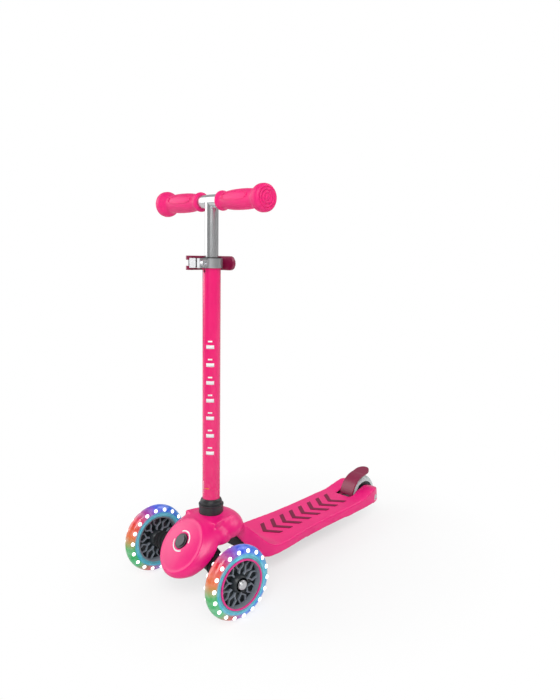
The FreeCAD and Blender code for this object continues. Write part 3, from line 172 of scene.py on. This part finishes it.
smooth_shell = evaluated_mesh(rough_shell)
bpy.data.objects.remove(rough_shell)
fit_out("deck_moulding", smooth_shell, pink_moulding, "deck", "pink_moulding", "deck_shell")

# ---------------------------------------------------------------- anti-slip pattern
# A row of plain chevrons on the standing surface.  Rubber, moulded onto the deck and a little
# proud of it, with a fine leathery grain.
burgundy_rubber = moulded("burgundy_rubber", (0.20, 0.002, 0.045), roughness=0.62, grain=700.0,
                          depth=0.35)
dress(burgundy_rubber, "grip_strips")

# ---------------------------------------------------------------- steering lock
# A round push button in the middle of the head, in a black ring with two white pointer arcs.
# Pressed plastic parts; the arcs are inlaid in the moulding.
black_gloss = moulded("black_gloss", (0.012, 0.012, 0.014), roughness=0.3, grain=600.0, depth=0.05)
white_inlay = moulded("white_inlay", (0.85, 0.85, 0.86), roughness=0.35, grain=500.0, depth=0.03)
dress(black_gloss, "button_bezel")
dress(white_inlay, "lock_arcs")
button_finish = moulded("button_finish", (0.045, 0.05, 0.056), roughness=0.34, grain=800.0, depth=0.1)
dress(button_finish, "lock_button")

# ---------------------------------------------------------------- black frame and truck
# The load-bearing frame under the deck and the ribbed axle carrier that leans against it.
# Glass-filled nylon with a fine dull grain.
black_nylon = moulded("black_nylon", (0.014, 0.014, 0.016), roughness=0.55, grain=900.0, depth=0.3)
dress(black_nylon, "underframe", "axle_carrier", "rear_spacers")

# ---------------------------------------------------------------- stem
# A painted aluminium tube in a black collar, with the silver T-bar sliding inside it.  The paint
# is glossy, the bar is anodised and drawn lengthwise.
pink_paint = moulded("pink_paint", (0.86, 0.0, 0.16), roughness=0.25, grain=1800.0, depth=0.02,
                     coat=0.4, tint=0.03)
black_ring = moulded("black_ring", (0.016, 0.016, 0.018), roughness=0.36, grain=900.0, depth=0.08)
silver_bar = moulded("silver_bar", (0.60, 0.61, 0.62), roughness=0.26, metallic=0.95, grain=500.0,
                     depth=0.05,
                     tint=0.04, stretch=(1.0, 1.0, 0.05))
dress(pink_paint, "column")
dress(black_ring, "collar", "guide_bush", "bar_foot_bush")
dress(silver_bar, "bar_tube", "crossbar")

STEM_LEAN = math.radians(5.63)
COLUMN_RADIUS = 0.015
stem_place = Matrix.Translation((0, -0.15895, 0.129)) @ Matrix.Rotation(-STEM_LEAN, 4, "X")


def column_print(name, marks, material):
    """Thin printed marks that hug the column: (start and end angle in degrees, low and high)."""
    form = bmesh.new()
    for start, end, low, high in marks:
        rows = []
        for level in (low, high):
            row = []
            for step in range(9):
                angle = math.radians(start + (end - start) * step / 8)
                radius = COLUMN_RADIUS + 0.00012
                row.append(form.verts.new(stem_place @ Vector(
                    (radius * math.sin(angle), -radius * math.cos(angle), level))))
            rows.append(row)
        for step in range(8):
            form.faces.new((rows[0][step], rows[0][step + 1], rows[1][step + 1], rows[1][step]))
    mesh = bpy.data.meshes.new(name)
    form.to_mesh(mesh)
    form.free()
    piece = fit_out(name, mesh, material, "deck", "white_inlay")
    thick = piece.modifiers.new("thick", "SOLIDIFY")
    thick.thickness = 0.0001
    return piece


bars = []
for i in range(7):
    level = 0.105 + 0.030 * i
    bars.append((18, 70, level, level + 0.006))
    bars.append((30, 58, level + 0.011, level + 0.0135))
print_white = moulded("print_white", (0.88, 0.88, 0.88), roughness=0.3, grain=900.0, depth=0.02)
column_print("column_bars", bars, print_white)
orange_print = moulded("orange_print", (0.9, 0.25, 0.02), roughness=0.35, grain=900.0, depth=0.02)
column_print("column_stripe_white", [(-6, -3, 0.036, 0.058)], print_white)
column_print("column_stripe_orange", [(8, 40, 0.045, 0.0465)], orange_print)

# ---------------------------------------------------------------- grips
# Soft rubber grips with a flange, a palm swell and a round bumper end.  Moulded in one piece, with
# a long plain panel outlined on the palm and rings on the end.
GRIP_PROFILE = [
    (26.0, 11.0), (26.0, 14.6), (26.8, 15.7), (28.4, 16.0), (30.4, 15.8), (32.4, 14.4), (35.0, 13.4),
    (40.0, 13.5), (48.0, 14.7), (56.0, 15.6), (66.0, 16.1), (78.0, 16.3), (90.0, 16.1), (100.0, 15.5),
    (107.0, 14.8), (110.5, 14.6), (113.5, 15.6), (116.5, 17.6), (119.4, 19.9), (122.0, 21.1),
    (124.6, 21.6), (129.6, 21.6), (132.6, 20.9), (134.6, 19.4), (135.6, 17.8), (135.8, 16.6),
    (134.9, 16.0), (134.9, 14.6), (136.2, 14.0), (136.4, 12.4), (135.4, 11.8), (135.4, 9.2),
    (136.7, 8.6), (136.8, 6.9), (135.8, 6.2), (135.8, 3.6), (137.0, 3.0), (137.2, 0.4),
]


def lathe(profile, place, segments=72, side=1.0):
    """A turned form about its own X axis: the profile is (distance along it, radius) in mm."""
    form = bmesh.new()
    rings = []
    for along, radius in profile:
        ring = []
        for step in range(segments):
            angle = 2 * math.pi * step / segments
            ring.append(form.verts.new(place @ Vector(
                (side * along / 1000, radius / 1000 * math.cos(angle),
                 radius / 1000 * math.sin(angle)))))
        rings.append(ring)
    for first, second in zip(rings, rings[1:]):
        for step in range(segments):
            after = (step + 1) % segments
            form.faces.new((first[step], first[after], second[after], second[step]))
    if profile[0] == profile[-1]:
        bmesh.ops.remove_doubles(form, verts=form.verts, dist=1e-7)
    else:
        form.faces.new(rings[0])
        form.faces.new(rings[-1])
    bmesh.ops.recalc_face_normals(form, faces=form.faces)
    mesh = bpy.data.meshes.new("turned")
    form.to_mesh(mesh)
    form.free()
    return mesh


grip_rubber = moulded("grip_rubber", (0.88, 0.002, 0.18), roughness=0.5, grain=1500.0, depth=0.25,
                      tint=0.05)
bar_place = stem_place @ Matrix.Translation((0, 0, 0.5245))
for side_name, side in (("left", 1.0), ("right", -1.0)):
    fit_out(f"grip_rubber_{side_name}", lathe(GRIP_PROFILE, bar_place, side=side), grip_rubber,
            "t_bar", "pink_rubber", f"grip_{side_name}")
    ridge = bmesh.new()
    panel = []
    for step in range(64):
        turn = 2 * math.pi * step / 64
        along = 0.072 + 0.031 * math.copysign(abs(math.cos(turn)) ** 0.55, math.cos(turn))
        angle = math.radians(-20 + 26 * math.copysign(abs(math.sin(turn)) ** 0.9, math.sin(turn)))
        panel.append((along, angle))
    for offset, lift in ((0.0, -0.0004), (0.0, 0.00035), (0.0011, 0.00035), (0.0011, -0.0004)):
        for along, angle in panel:
            toward = 1 - offset / 0.012
            x = 0.072 + (along - 0.072) * (1 - offset / 0.031)
            swing = math.radians(-20) + (angle - math.radians(-20)) * toward
            radius = 0.0163 - 0.0000009 * ((x - 0.078) * 1000) ** 2 + lift
            ridge.verts.new(bar_place @ Vector(
                (side * x, -radius * math.cos(swing), radius * math.sin(swing) * -1)))
    ridge.verts.ensure_lookup_table()
    for band in range(4):
        for step in range(64):
            after = (step + 1) % 64
            low, high = band * 64, ((band + 1) % 4) * 64
            corners = (low + step, low + after, high + after, high + step)
            ridge.faces.new([ridge.verts[i] for i in corners])
    bmesh.ops.recalc_face_normals(ridge, faces=ridge.faces)
    ridge_mesh = bpy.data.meshes.new("panel_ridge")
    ridge.to_mesh(ridge_mesh)
    ridge.free()
    fit_out(f"grip_panel_{side_name}", ridge_mesh, grip_rubber, "t_bar", "pink_rubber")

# ---------------------------------------------------------------- quick clamp
# A cast aluminium band round the top of the column, drawn tight by a cam lever on a through bolt.
# The lever is moulded plastic and folds round behind the column.
clamp_alloy = moulded("clamp_alloy", (0.46, 0.47, 0.48), roughness=0.34, metallic=0.9, grain=700.0,
                      depth=0.06)
zinc = moulded("zinc", (0.58, 0.58, 0.60), roughness=0.3, metallic=0.9, grain=900.0, depth=0.05)
burgundy = moulded("burgundy", (0.24, 0.002, 0.05), roughness=0.34, grain=1200.0, depth=0.08, coat=0.2)
dress(clamp_alloy, "clamp_band", "cam_washer")
dress(zinc, "clamp_bolt", "clamp_nut", "lever_barrel", "kingpin", "kingpin_nut", "lock_dog",
      "underframe_screws", "rear_axle", "rear_axle_nut", "brake_pin", "brake_pad",
      "front_axle_left", "front_axle_right", "axle_washer_left", "axle_washer_right",
      "front_bearing_spacer_left", "front_bearing_spacer_right", "rear_bearing_spacer")
dress(burgundy, "brake_fender")

LEVER_HEIGHT, LEVER_TIP, CLAMP_LEVEL = 0.0235, 0.0235, 0.42515
mask = bmesh.new()
end_radius = LEVER_HEIGHT / 2
edge_line = [(-0.08, CLAMP_LEVEL - end_radius)]
for i in range(25):
    turn = math.radians(-90 + 180 * i / 24)
    edge_line.append((LEVER_TIP - end_radius + end_radius * math.cos(turn),
                      CLAMP_LEVEL + end_radius * math.sin(turn)))
edge_line.append((-0.08, CLAMP_LEVEL + end_radius))
sides = [[mask.verts.new(stem_place @ Vector((x, y, z))) for x, z in edge_line] for y in (-0.06, 0.06)]
for i in range(len(edge_line)):
    after = (i + 1) % len(edge_line)
    mask.faces.new((sides[0][i], sides[0][after], sides[1][after], sides[1][i]))
mask.faces.new(sides[0])
mask.faces.new(sides[1])
bmesh.ops.recalc_face_normals(mask, faces=mask.faces)
mask_mesh = bpy.data.meshes.new("end_mask")
mask.to_mesh(mask_mesh)
mask.free()
mask_piece = bpy.data.objects.new("end_mask", mask_mesh)
lever_blank = bpy.data.objects.new("lever_blank", nodes["clamp_lever"].data.copy())
for piece in (mask_piece, lever_blank):
    bpy.context.scene.collection.objects.link(piece)
weld = lever_blank.modifiers.new("weld", "WELD")
weld.merge_threshold = 0.00001
rounding = lever_blank.modifiers.new("rounding", "BOOLEAN")
rounding.operation = "INTERSECT"
rounding.object = mask_piece
even = lever_blank.modifiers.new("even", "REMESH")
even.mode = "VOXEL"
even.voxel_size = 0.0006
ease = lever_blank.modifiers.new("ease", "SMOOTH")
ease.factor = 0.5
ease.iterations = 6
lever_mesh = evaluated_mesh(lever_blank)
bpy.data.objects.remove(lever_blank)
bpy.data.objects.remove(mask_piece)
fit_out("lever_moulding", lever_mesh, burgundy, "lever", "burgundy_plastic", "clamp_lever")
for name, width in (("clamp_band", 0.0006), ("cam_washer", 0.0005), ("brake_fender", 0.0009)):
    edge = nodes[name].modifiers.new("edge", "BEVEL")
    edge.width = width
    edge.segments = 3
    edge.limit_method = "ANGLE"
    edge.angle_limit = math.radians(40)

# ---------------------------------------------------------------- springs and bearings
# Wire springs, sealed ball bearings and nylon bushes, nearly all of them out of sight.
# Bought-in metal parts and turned nylon.
spring_wire = moulded("spring_wire", (0.35, 0.35, 0.36), roughness=0.35, metallic=0.9, grain=1200.0)
bearing_steel = moulded("bearing_steel", (0.7, 0.7, 0.72), roughness=0.2, metallic=1.0, grain=900.0)
white_nylon = moulded("white_nylon", (0.75, 0.75, 0.72), roughness=0.5, grain=900.0)
dress(spring_wire, "centring_springs", "lock_spring", "brake_spring", "snap_clip")
dress(bearing_steel, "front_bearings_left", "front_bearings_right", "rear_bearings")
dress(white_nylon, "truck_bush", "thrust_washer")

# ---------------------------------------------------------------- front wheels
# A clear urethane tyre cast round a grey spoked core, with lights that flash in many colours as
# the wheel rolls.  The core is moulded plastic with a thin pink trim ring, on a capped axle bolt.
WHEEL_Y, WHEEL_Z, WHEEL_X = -0.20375, 0.0605, 0.117
SPECTRUM = [
    (0.00, (0.02, 0.30, 0.42)), (0.12, (0.01, 0.14, 0.55)), (0.24, (0.03, 0.08, 0.62)),
    (0.30, (0.30, 0.02, 0.25)), (0.36, (0.62, 0.01, 0.03)), (0.44, (0.60, 0.12, 0.01)),
    (0.50, (0.02, 0.32, 0.06)), (0.60, (0.01, 0.36, 0.12)), (0.68, (0.50, 0.03, 0.04)),
    (0.76, (0.02, 0.12, 0.60)), (0.88, (0.02, 0.16, 0.58)), (1.00, (0.02, 0.30, 0.42)),
]


TYRE_INNER_EDGE = (0.0470, 0.0510)


def glowing(name, pale, strength, roughness):
    """Clear plastic lit from inside: its colour runs round the wheel like a rainbow."""
    material = bpy.data.materials.new(name)
    material.use_nodes = True
    tree = material.node_tree
    shader = tree.nodes["Principled BSDF"]
    shader.inputs["Roughness"].default_value = roughness
    shader.inputs["Coat Weight"].default_value = 0.25
    shader.inputs["Emission Strength"].default_value = strength
    place = tree.nodes.new("ShaderNodeTexCoord")
    parts = tree.nodes.new("ShaderNodeSeparateXYZ")
    tree.links.new(place.outputs["Object"], parts.inputs["Vector"])

    def sum_with(socket, operation, value):
        step = tree.nodes.new("ShaderNodeMath")
        step.operation = operation
        tree.links.new(socket, step.inputs[0])
        step.inputs[1].default_value = value
        return step.outputs[0]

    across = sum_with(parts.outputs["Y"], "SUBTRACT", WHEEL_Y)
    above = sum_with(parts.outputs["Z"], "SUBTRACT", WHEEL_Z)
    angle = tree.nodes.new("ShaderNodeMath")
    angle.operation = "ARCTAN2"
    tree.links.new(above, angle.inputs[0])
    tree.links.new(across, angle.inputs[1])
    share = sum_with(sum_with(angle.outputs[0], "DIVIDE", 2 * math.pi), "ADD", 1.0)
    share = sum_with(share, "FRACT", 0.0)
    ramp = tree.nodes.new("ShaderNodeValToRGB")
    stops = ramp.color_ramp.elements
    for stop, (position, colour) in enumerate(SPECTRUM):
        stop = stops[stop] if stop < 2 else stops.new(position)
        stop.position = position
        stop.color = (*(c * (1 - pale) + pale * 0.9 for c in colour), 1)
    tree.links.new(share, ramp.inputs["Fac"])
    cloud = tree.nodes.new("ShaderNodeTexNoise")
    cloud.inputs["Scale"].default_value = 90.0
    tree.links.new(place.outputs["Object"], cloud.inputs["Vector"])
    blend = tree.nodes.new("ShaderNodeMix")
    blend.data_type = "RGBA"
    blend.inputs[7].default_value = (0.82, 0.90, 0.97, 1)
    fade = tree.nodes.new("ShaderNodeMapRange")
    fade.inputs["From Min"].default_value = 0.35
    fade.inputs["From Max"].default_value = 0.75
    fade.inputs["To Max"].default_value = 0.16
    tree.links.new(cloud.outputs["Fac"], fade.inputs["Value"])
    tree.links.new(fade.outputs["Result"], blend.inputs["Factor"])
    squares = tree.nodes.new("ShaderNodeMath")
    squares.operation = "POWER"
    squares.inputs[1].default_value = 2.0
    tree.links.new(across, squares.inputs[0])
    reach = tree.nodes.new("ShaderNodeMath")
    reach.operation = "MULTIPLY_ADD"
    tree.links.new(above, reach.inputs[0])
    tree.links.new(above, reach.inputs[1])
    tree.links.new(squares.outputs[0], reach.inputs[2])
    inner_edge = tree.nodes.new("ShaderNodeMapRange")
    inner_edge.inputs["From Min"].default_value = TYRE_INNER_EDGE[0] ** 2
    inner_edge.inputs["From Max"].default_value = TYRE_INNER_EDGE[1] ** 2
    tree.links.new(reach.outputs[0], inner_edge.inputs["Value"])
    inside = tree.nodes.new("ShaderNodeMix")
    inside.data_type = "RGBA"
    inside.inputs[6].default_value = (0.03, 0.36, 0.50, 1)
    tree.links.new(inner_edge.outputs["Result"], inside.inputs["Factor"])
    tree.links.new(ramp.outputs["Color"], inside.inputs[7])
    tree.links.new(inside.outputs[2], blend.inputs[6])
    tree.links.new(blend.outputs[2], shader.inputs["Base Color"])
    tree.links.new(blend.outputs[2], shader.inputs["Emission Color"])
    return material


def bar_form(form, place, start, end, width, depth):
    """A flat spoke between two points (y, z) in mm, as a box with a chamfered section."""
    run = Vector((end[0] - start[0], end[1] - start[1]))
    side = Vector((-run.y, run.x)).normalized() * width / 2
    corners = []
    for x, inset in ((-depth, 0.0), (-depth * 0.7, 1.0), (depth * 0.7, 1.0), (depth, 0.0)):
        spread = side * (0.72 + 0.28 * inset)
        corners.append([form.verts.new(place @ (Vector((x, *point)) / 1000)) for point in (
            (start[0] - spread.x, start[1] - spread.y), (end[0] - spread.x, end[1] - spread.y),
            (end[0] + spread.x, end[1] + spread.y), (start[0] + spread.x, start[1] + spread.y))])
    for low, high in zip(corners, corners[1:]):
        for step in range(4):
            after = (step + 1) % 4
            form.faces.new((low[step], low[after], high[after], high[step]))
    form.faces.new(corners[0])
    form.faces.new(corners[-1])


tyre_glow = glowing("tyre_glow", 0.0, 0.30, 0.14)
lens = moulded("light_lens", (0.95, 0.95, 1.0), roughness=0.15, grain=300.0, depth=0.02)
lens.node_tree.nodes["Principled BSDF"].inputs["Emission Color"].default_value = (1, 0.97, 1, 1)
lens.node_tree.nodes["Principled BSDF"].inputs["Emission Strength"].default_value = 1.6
core_grey = moulded("core_grey", (0.20, 0.23, 0.27), roughness=0.3, grain=900.0, depth=0.08, coat=0.3)
core_dark = moulded("core_dark", (0.012, 0.018, 0.022), roughness=0.4, grain=900.0, depth=0.1)
band_teal = moulded("band_teal", (0.10, 0.45, 0.55), roughness=0.12, grain=300.0, depth=0.03,
                    coat=0.5, tint=0.4)
trim_pink = moulded("trim_pink", (0.80, 0.01, 0.25), roughness=0.3, grain=900.0, depth=0.05, coat=0.3)
dress(trim_pink, "trim_ring_left", "trim_ring_right")
for side_name, side in (("left", 1.0), ("right", -1.0)):
    body = f"front_wheel_{side_name}"
    centre = Matrix.Translation((WHEEL_X * side, WHEEL_Y, WHEEL_Z))
    dress(tyre_glow, f"front_tyre_{side_name}")
    dress(lens, f"light_beads_{side_name}")

    lamps = bmesh.new()
    for face in (1, -1):
        for i in range(18):
            turn = 2 * math.pi * (i + 0.5) / 18
            spot = Vector((face * 0.0106, 0.0532 * math.cos(turn), 0.0532 * math.sin(turn)))
            lamp = centre @ Matrix.Translation(spot) @ Matrix.Diagonal((0.5, 1, 1, 1))
            bmesh.ops.create_icosphere(lamps, subdivisions=3, radius=0.0036, matrix=lamp)
    lamp_mesh = bpy.data.meshes.new("lamps")
    lamps.to_mesh(lamp_mesh)
    lamps.free()
    fit_out(f"tyre_lights_{side_name}", lamp_mesh, lens, body, "light_lens")

    rim = [(-11.5, 45.3), (-11.5, 41.4), (-11.2, 38.8), (-10.2, 38.2), (-4.0, 37.6), (4.0, 37.6),
           (10.2, 38.2), (11.2, 38.8), (11.5, 41.4), (11.5, 45.3), (-11.5, 45.3)]
    fit_out(f"core_rim_{side_name}", lathe(rim, centre, 96), core_grey, body, "wheel_grey",
            f"front_core_{side_name}")
    hub = [(-12.5, 4.4), (-12.5, 11.4), (-11.9, 12.6), (-7.0, 14.6), (-4.0, 15.6), (4.0, 15.6),
           (7.0, 14.6), (11.9, 12.6), (12.5, 11.4), (12.5, 4.4), (-12.5, 4.4)]
    fit_out(f"core_hub_{side_name}", lathe(hub, centre, 64), core_dark, body, "wheel_dark")
    disc = [(-1.2, 13.0), (-1.2, 38.4), (1.2, 38.4), (1.2, 13.0), (-1.2, 13.0)]
    fit_out(f"core_disc_{side_name}", lathe(disc, centre, 64), core_dark, body, "wheel_dark")
    band = [(11.45, 41.2), (11.7, 41.6), (12.1, 43.2), (11.8, 45.1), (11.3, 45.6), (11.3, 41.2),
            (11.45, 41.2)]
    for face, face_name in ((1.0, "outer"), (-1.0, "inner")):
        fit_out(f"core_band_{side_name}_{face_name}", lathe(band, centre, 96, face), band_teal, body,
                "clear_tyre")

    spokes = bmesh.new()
    for i in range(9):
        turn = 2 * math.pi * i / 9

        def at(radius, swing):
            angle = turn + math.radians(swing)
            return radius * math.cos(angle), radius * math.sin(angle)

        bar_form(spokes, centre, at(13.5, 0), at(21.5, 0), 3.2, 5.2)
        for swing in (-1, 1):
            bar_form(spokes, centre, at(20.5, 0), at(29.0, 15 * swing), 2.2, 4.9)
            bar_form(spokes, centre, at(28.5, 15 * swing), at(38.6, 7 * swing), 2.2, 4.9)
    spoke_mesh = bpy.data.meshes.new("spokes")
    bmesh.ops.recalc_face_normals(spokes, faces=spokes.faces)
    spokes.to_mesh(spoke_mesh)
    spokes.free()
    spoke_piece = fit_out(f"core_spokes_{side_name}", spoke_mesh, core_grey, body, "wheel_grey")
    for face in spoke_mesh.polygons:
        face.use_smooth = False
    edge = spoke_piece.modifiers.new("edge", "BEVEL")
    edge.width = 0.0005
    edge.segments = 2

    cap = [(12.9, 4.0), (12.9, 7.6), (13.4, 8.0), (14.4, 8.0), (15.6, 7.2), (16.8, 5.6),
           (17.5, 3.4), (17.7, 0.3)]
    fit_out(f"axle_cap_{side_name}", lathe(cap, centre, 48, side), zinc, "truck", "steel")

# ---------------------------------------------------------------- rear wheel
# A smaller milky urethane wheel on a dark core, held in the frame's fork by a through bolt.
# Cast tyre on a moulded core.
milky = moulded("milky", (0.62, 0.72, 0.72), roughness=0.16, grain=500.0, depth=0.05, coat=0.4,
                tint=0.12)
dress(milky, "rear_tyre")
dress(core_dark, "rear_core")

# ---------------------------------------------------------------- studio
# A pale sheet under the scooter, three soft lamps and an even white surround.
# None of it is part of the scooter.
floor_form = bmesh.new()
bmesh.ops.create_grid(floor_form, x_segments=1, y_segments=1, size=60.0)
floor_mesh = bpy.data.meshes.new("floor")
floor_form.to_mesh(floor_mesh)
floor_form.free()
floor = bpy.data.objects.new("floor", floor_mesh)
bpy.context.scene.collection.objects.link(floor)
pale = bpy.data.materials.new("pale_floor")
pale.use_nodes = True
pale_tree = pale.node_tree
pale_shader = pale_tree.nodes["Principled BSDF"]
pale_shader.inputs["Base Color"].default_value = (0.9, 0.9, 0.9, 1)
pale_shader.inputs["Roughness"].default_value = 0.9
pale_shader.inputs["Specular IOR Level"].default_value = 0.1
# away from the scooter the sheet fades to plain white, so that no edge or horizon shows
spot_on_floor = pale_tree.nodes.new("ShaderNodeNewGeometry")
distance = pale_tree.nodes.new("ShaderNodeVectorMath")
distance.operation = "LENGTH"
pale_tree.links.new(spot_on_floor.outputs["Position"], distance.inputs[0])
fade_out = pale_tree.nodes.new("ShaderNodeMapRange")
fade_out.inputs["From Min"].default_value = 0.10
fade_out.inputs["From Max"].default_value = 0.42
fade_out.inputs["To Min"].default_value = 0.62
pale_tree.links.new(distance.outputs["Value"], fade_out.inputs["Value"])
plain_white = pale_tree.nodes.new("ShaderNodeEmission")
plain_white.inputs["Color"].default_value = (1, 1, 1, 1)
seen_white = pale_tree.nodes.new("ShaderNodeLightPath")
far_and_seen = pale_tree.nodes.new("ShaderNodeMath")
far_and_seen.operation = "MULTIPLY"
pale_tree.links.new(fade_out.outputs["Result"], far_and_seen.inputs[0])
pale_tree.links.new(seen_white.outputs["Is Camera Ray"], far_and_seen.inputs[1])
floor_blend = pale_tree.nodes.new("ShaderNodeMixShader")
pale_tree.links.new(far_and_seen.outputs[0], floor_blend.inputs["Fac"])
pale_tree.links.new(pale_shader.outputs["BSDF"], floor_blend.inputs[1])
pale_tree.links.new(plain_white.outputs["Emission"], floor_blend.inputs[2])
pale_tree.links.new(floor_blend.outputs["Shader"], pale_tree.nodes["Material Output"].inputs["Surface"])
floor_mesh.materials.append(pale)


def lamp(name, place, size, watts):
    """A soft square lamp that faces the middle of the scooter."""
    data = bpy.data.lights.new(name, "AREA")
    data.size = size
    data.energy = watts
    light = bpy.data.objects.new(name, data)
    light.location = place
    light.rotation_euler = (Vector((0, 0, 0.3)) - Vector(place)).to_track_quat("-Z", "Y").to_euler()
    bpy.context.scene.collection.objects.link(light)


lamp("key", (1.6, -1.4, 2.0), 1.6, 44)
lamp("fill", (-2.2, -1.2, 1.3), 2.0, 26)
lamp("back", (0.6, 2.2, 2.0), 1.8, 22)
world = bpy.data.worlds.new("surround")
bpy.context.scene.world = world
world.use_nodes = True
sky = world.node_tree
backdrop = sky.nodes["Background"]
seen = sky.nodes.new("ShaderNodeLightPath")
white = sky.nodes.new("ShaderNodeBackground")
white.inputs["Color"].default_value = (1, 1, 1, 1)
backdrop.inputs["Color"].default_value = (1, 1, 1, 1)
backdrop.inputs["Strength"].default_value = 0.5
# the room round the scooter is not evenly bright, which is what bright metal shows
direction = sky.nodes.new("ShaderNodeTexCoord")
heading = sky.nodes.new("ShaderNodeSeparateXYZ")
sky.links.new(direction.outputs["Generated"], heading.inputs["Vector"])
sweep = sky.nodes.new("ShaderNodeMapRange")
sweep.inputs["From Min"].default_value = -1.0
sky.links.new(heading.outputs["X"], sweep.inputs["Value"])
room = sky.nodes.new("ShaderNodeValToRGB")
room_stops = room.color_ramp.elements
for i, (position, level) in enumerate(((0.0, 1.0), (0.38, 0.9), (0.5, 0.12), (0.6, 0.75), (0.8, 1.0),
                                       (0.93, 0.35), (1.0, 0.8))):
    stop = room_stops[i] if i < 2 else room_stops.new(position)
    stop.position = position
    stop.color = (level, level, level, 1)
sky.links.new(sweep.outputs["Result"], room.inputs["Fac"])
sky.links.new(room.outputs["Color"], backdrop.inputs["Color"])
either = sky.nodes.new("ShaderNodeMath")
either.operation = "MAXIMUM"
sky.links.new(seen.outputs["Is Camera Ray"], either.inputs[0])
sky.links.new(seen.outputs["Is Transmission Ray"], either.inputs[1])
choice = sky.nodes.new("ShaderNodeMixShader")
sky.links.new(either.outputs[0], choice.inputs["Fac"])
sky.links.new(backdrop.outputs["Background"], choice.inputs[1])
sky.links.new(white.outputs["Background"], choice.inputs[2])
sky.links.new(choice.outputs["Shader"], sky.nodes["World Output"].inputs["Surface"])

lens_data = bpy.data.cameras.new("camera")
lens_data.lens = 35.985
lens_data.sensor_width = 36.0
camera = bpy.data.objects.new("camera", lens_data)
right = (0.68028, 0.73077, -0.05654)
up = (-0.1102, 0.17823, 0.9778)
forward = (-0.72463, 0.65894, -0.20178)
turned = Matrix((right, up, tuple(-c for c in forward))).transposed()
camera.matrix_world = Matrix.Translation((0.9237, -0.81705, 0.638)) @ turned.to_4x4()
bpy.context.scene.collection.objects.link(camera)
bpy.context.scene.camera = camera
bpy.context.scene.view_settings.view_transform = "Standard"
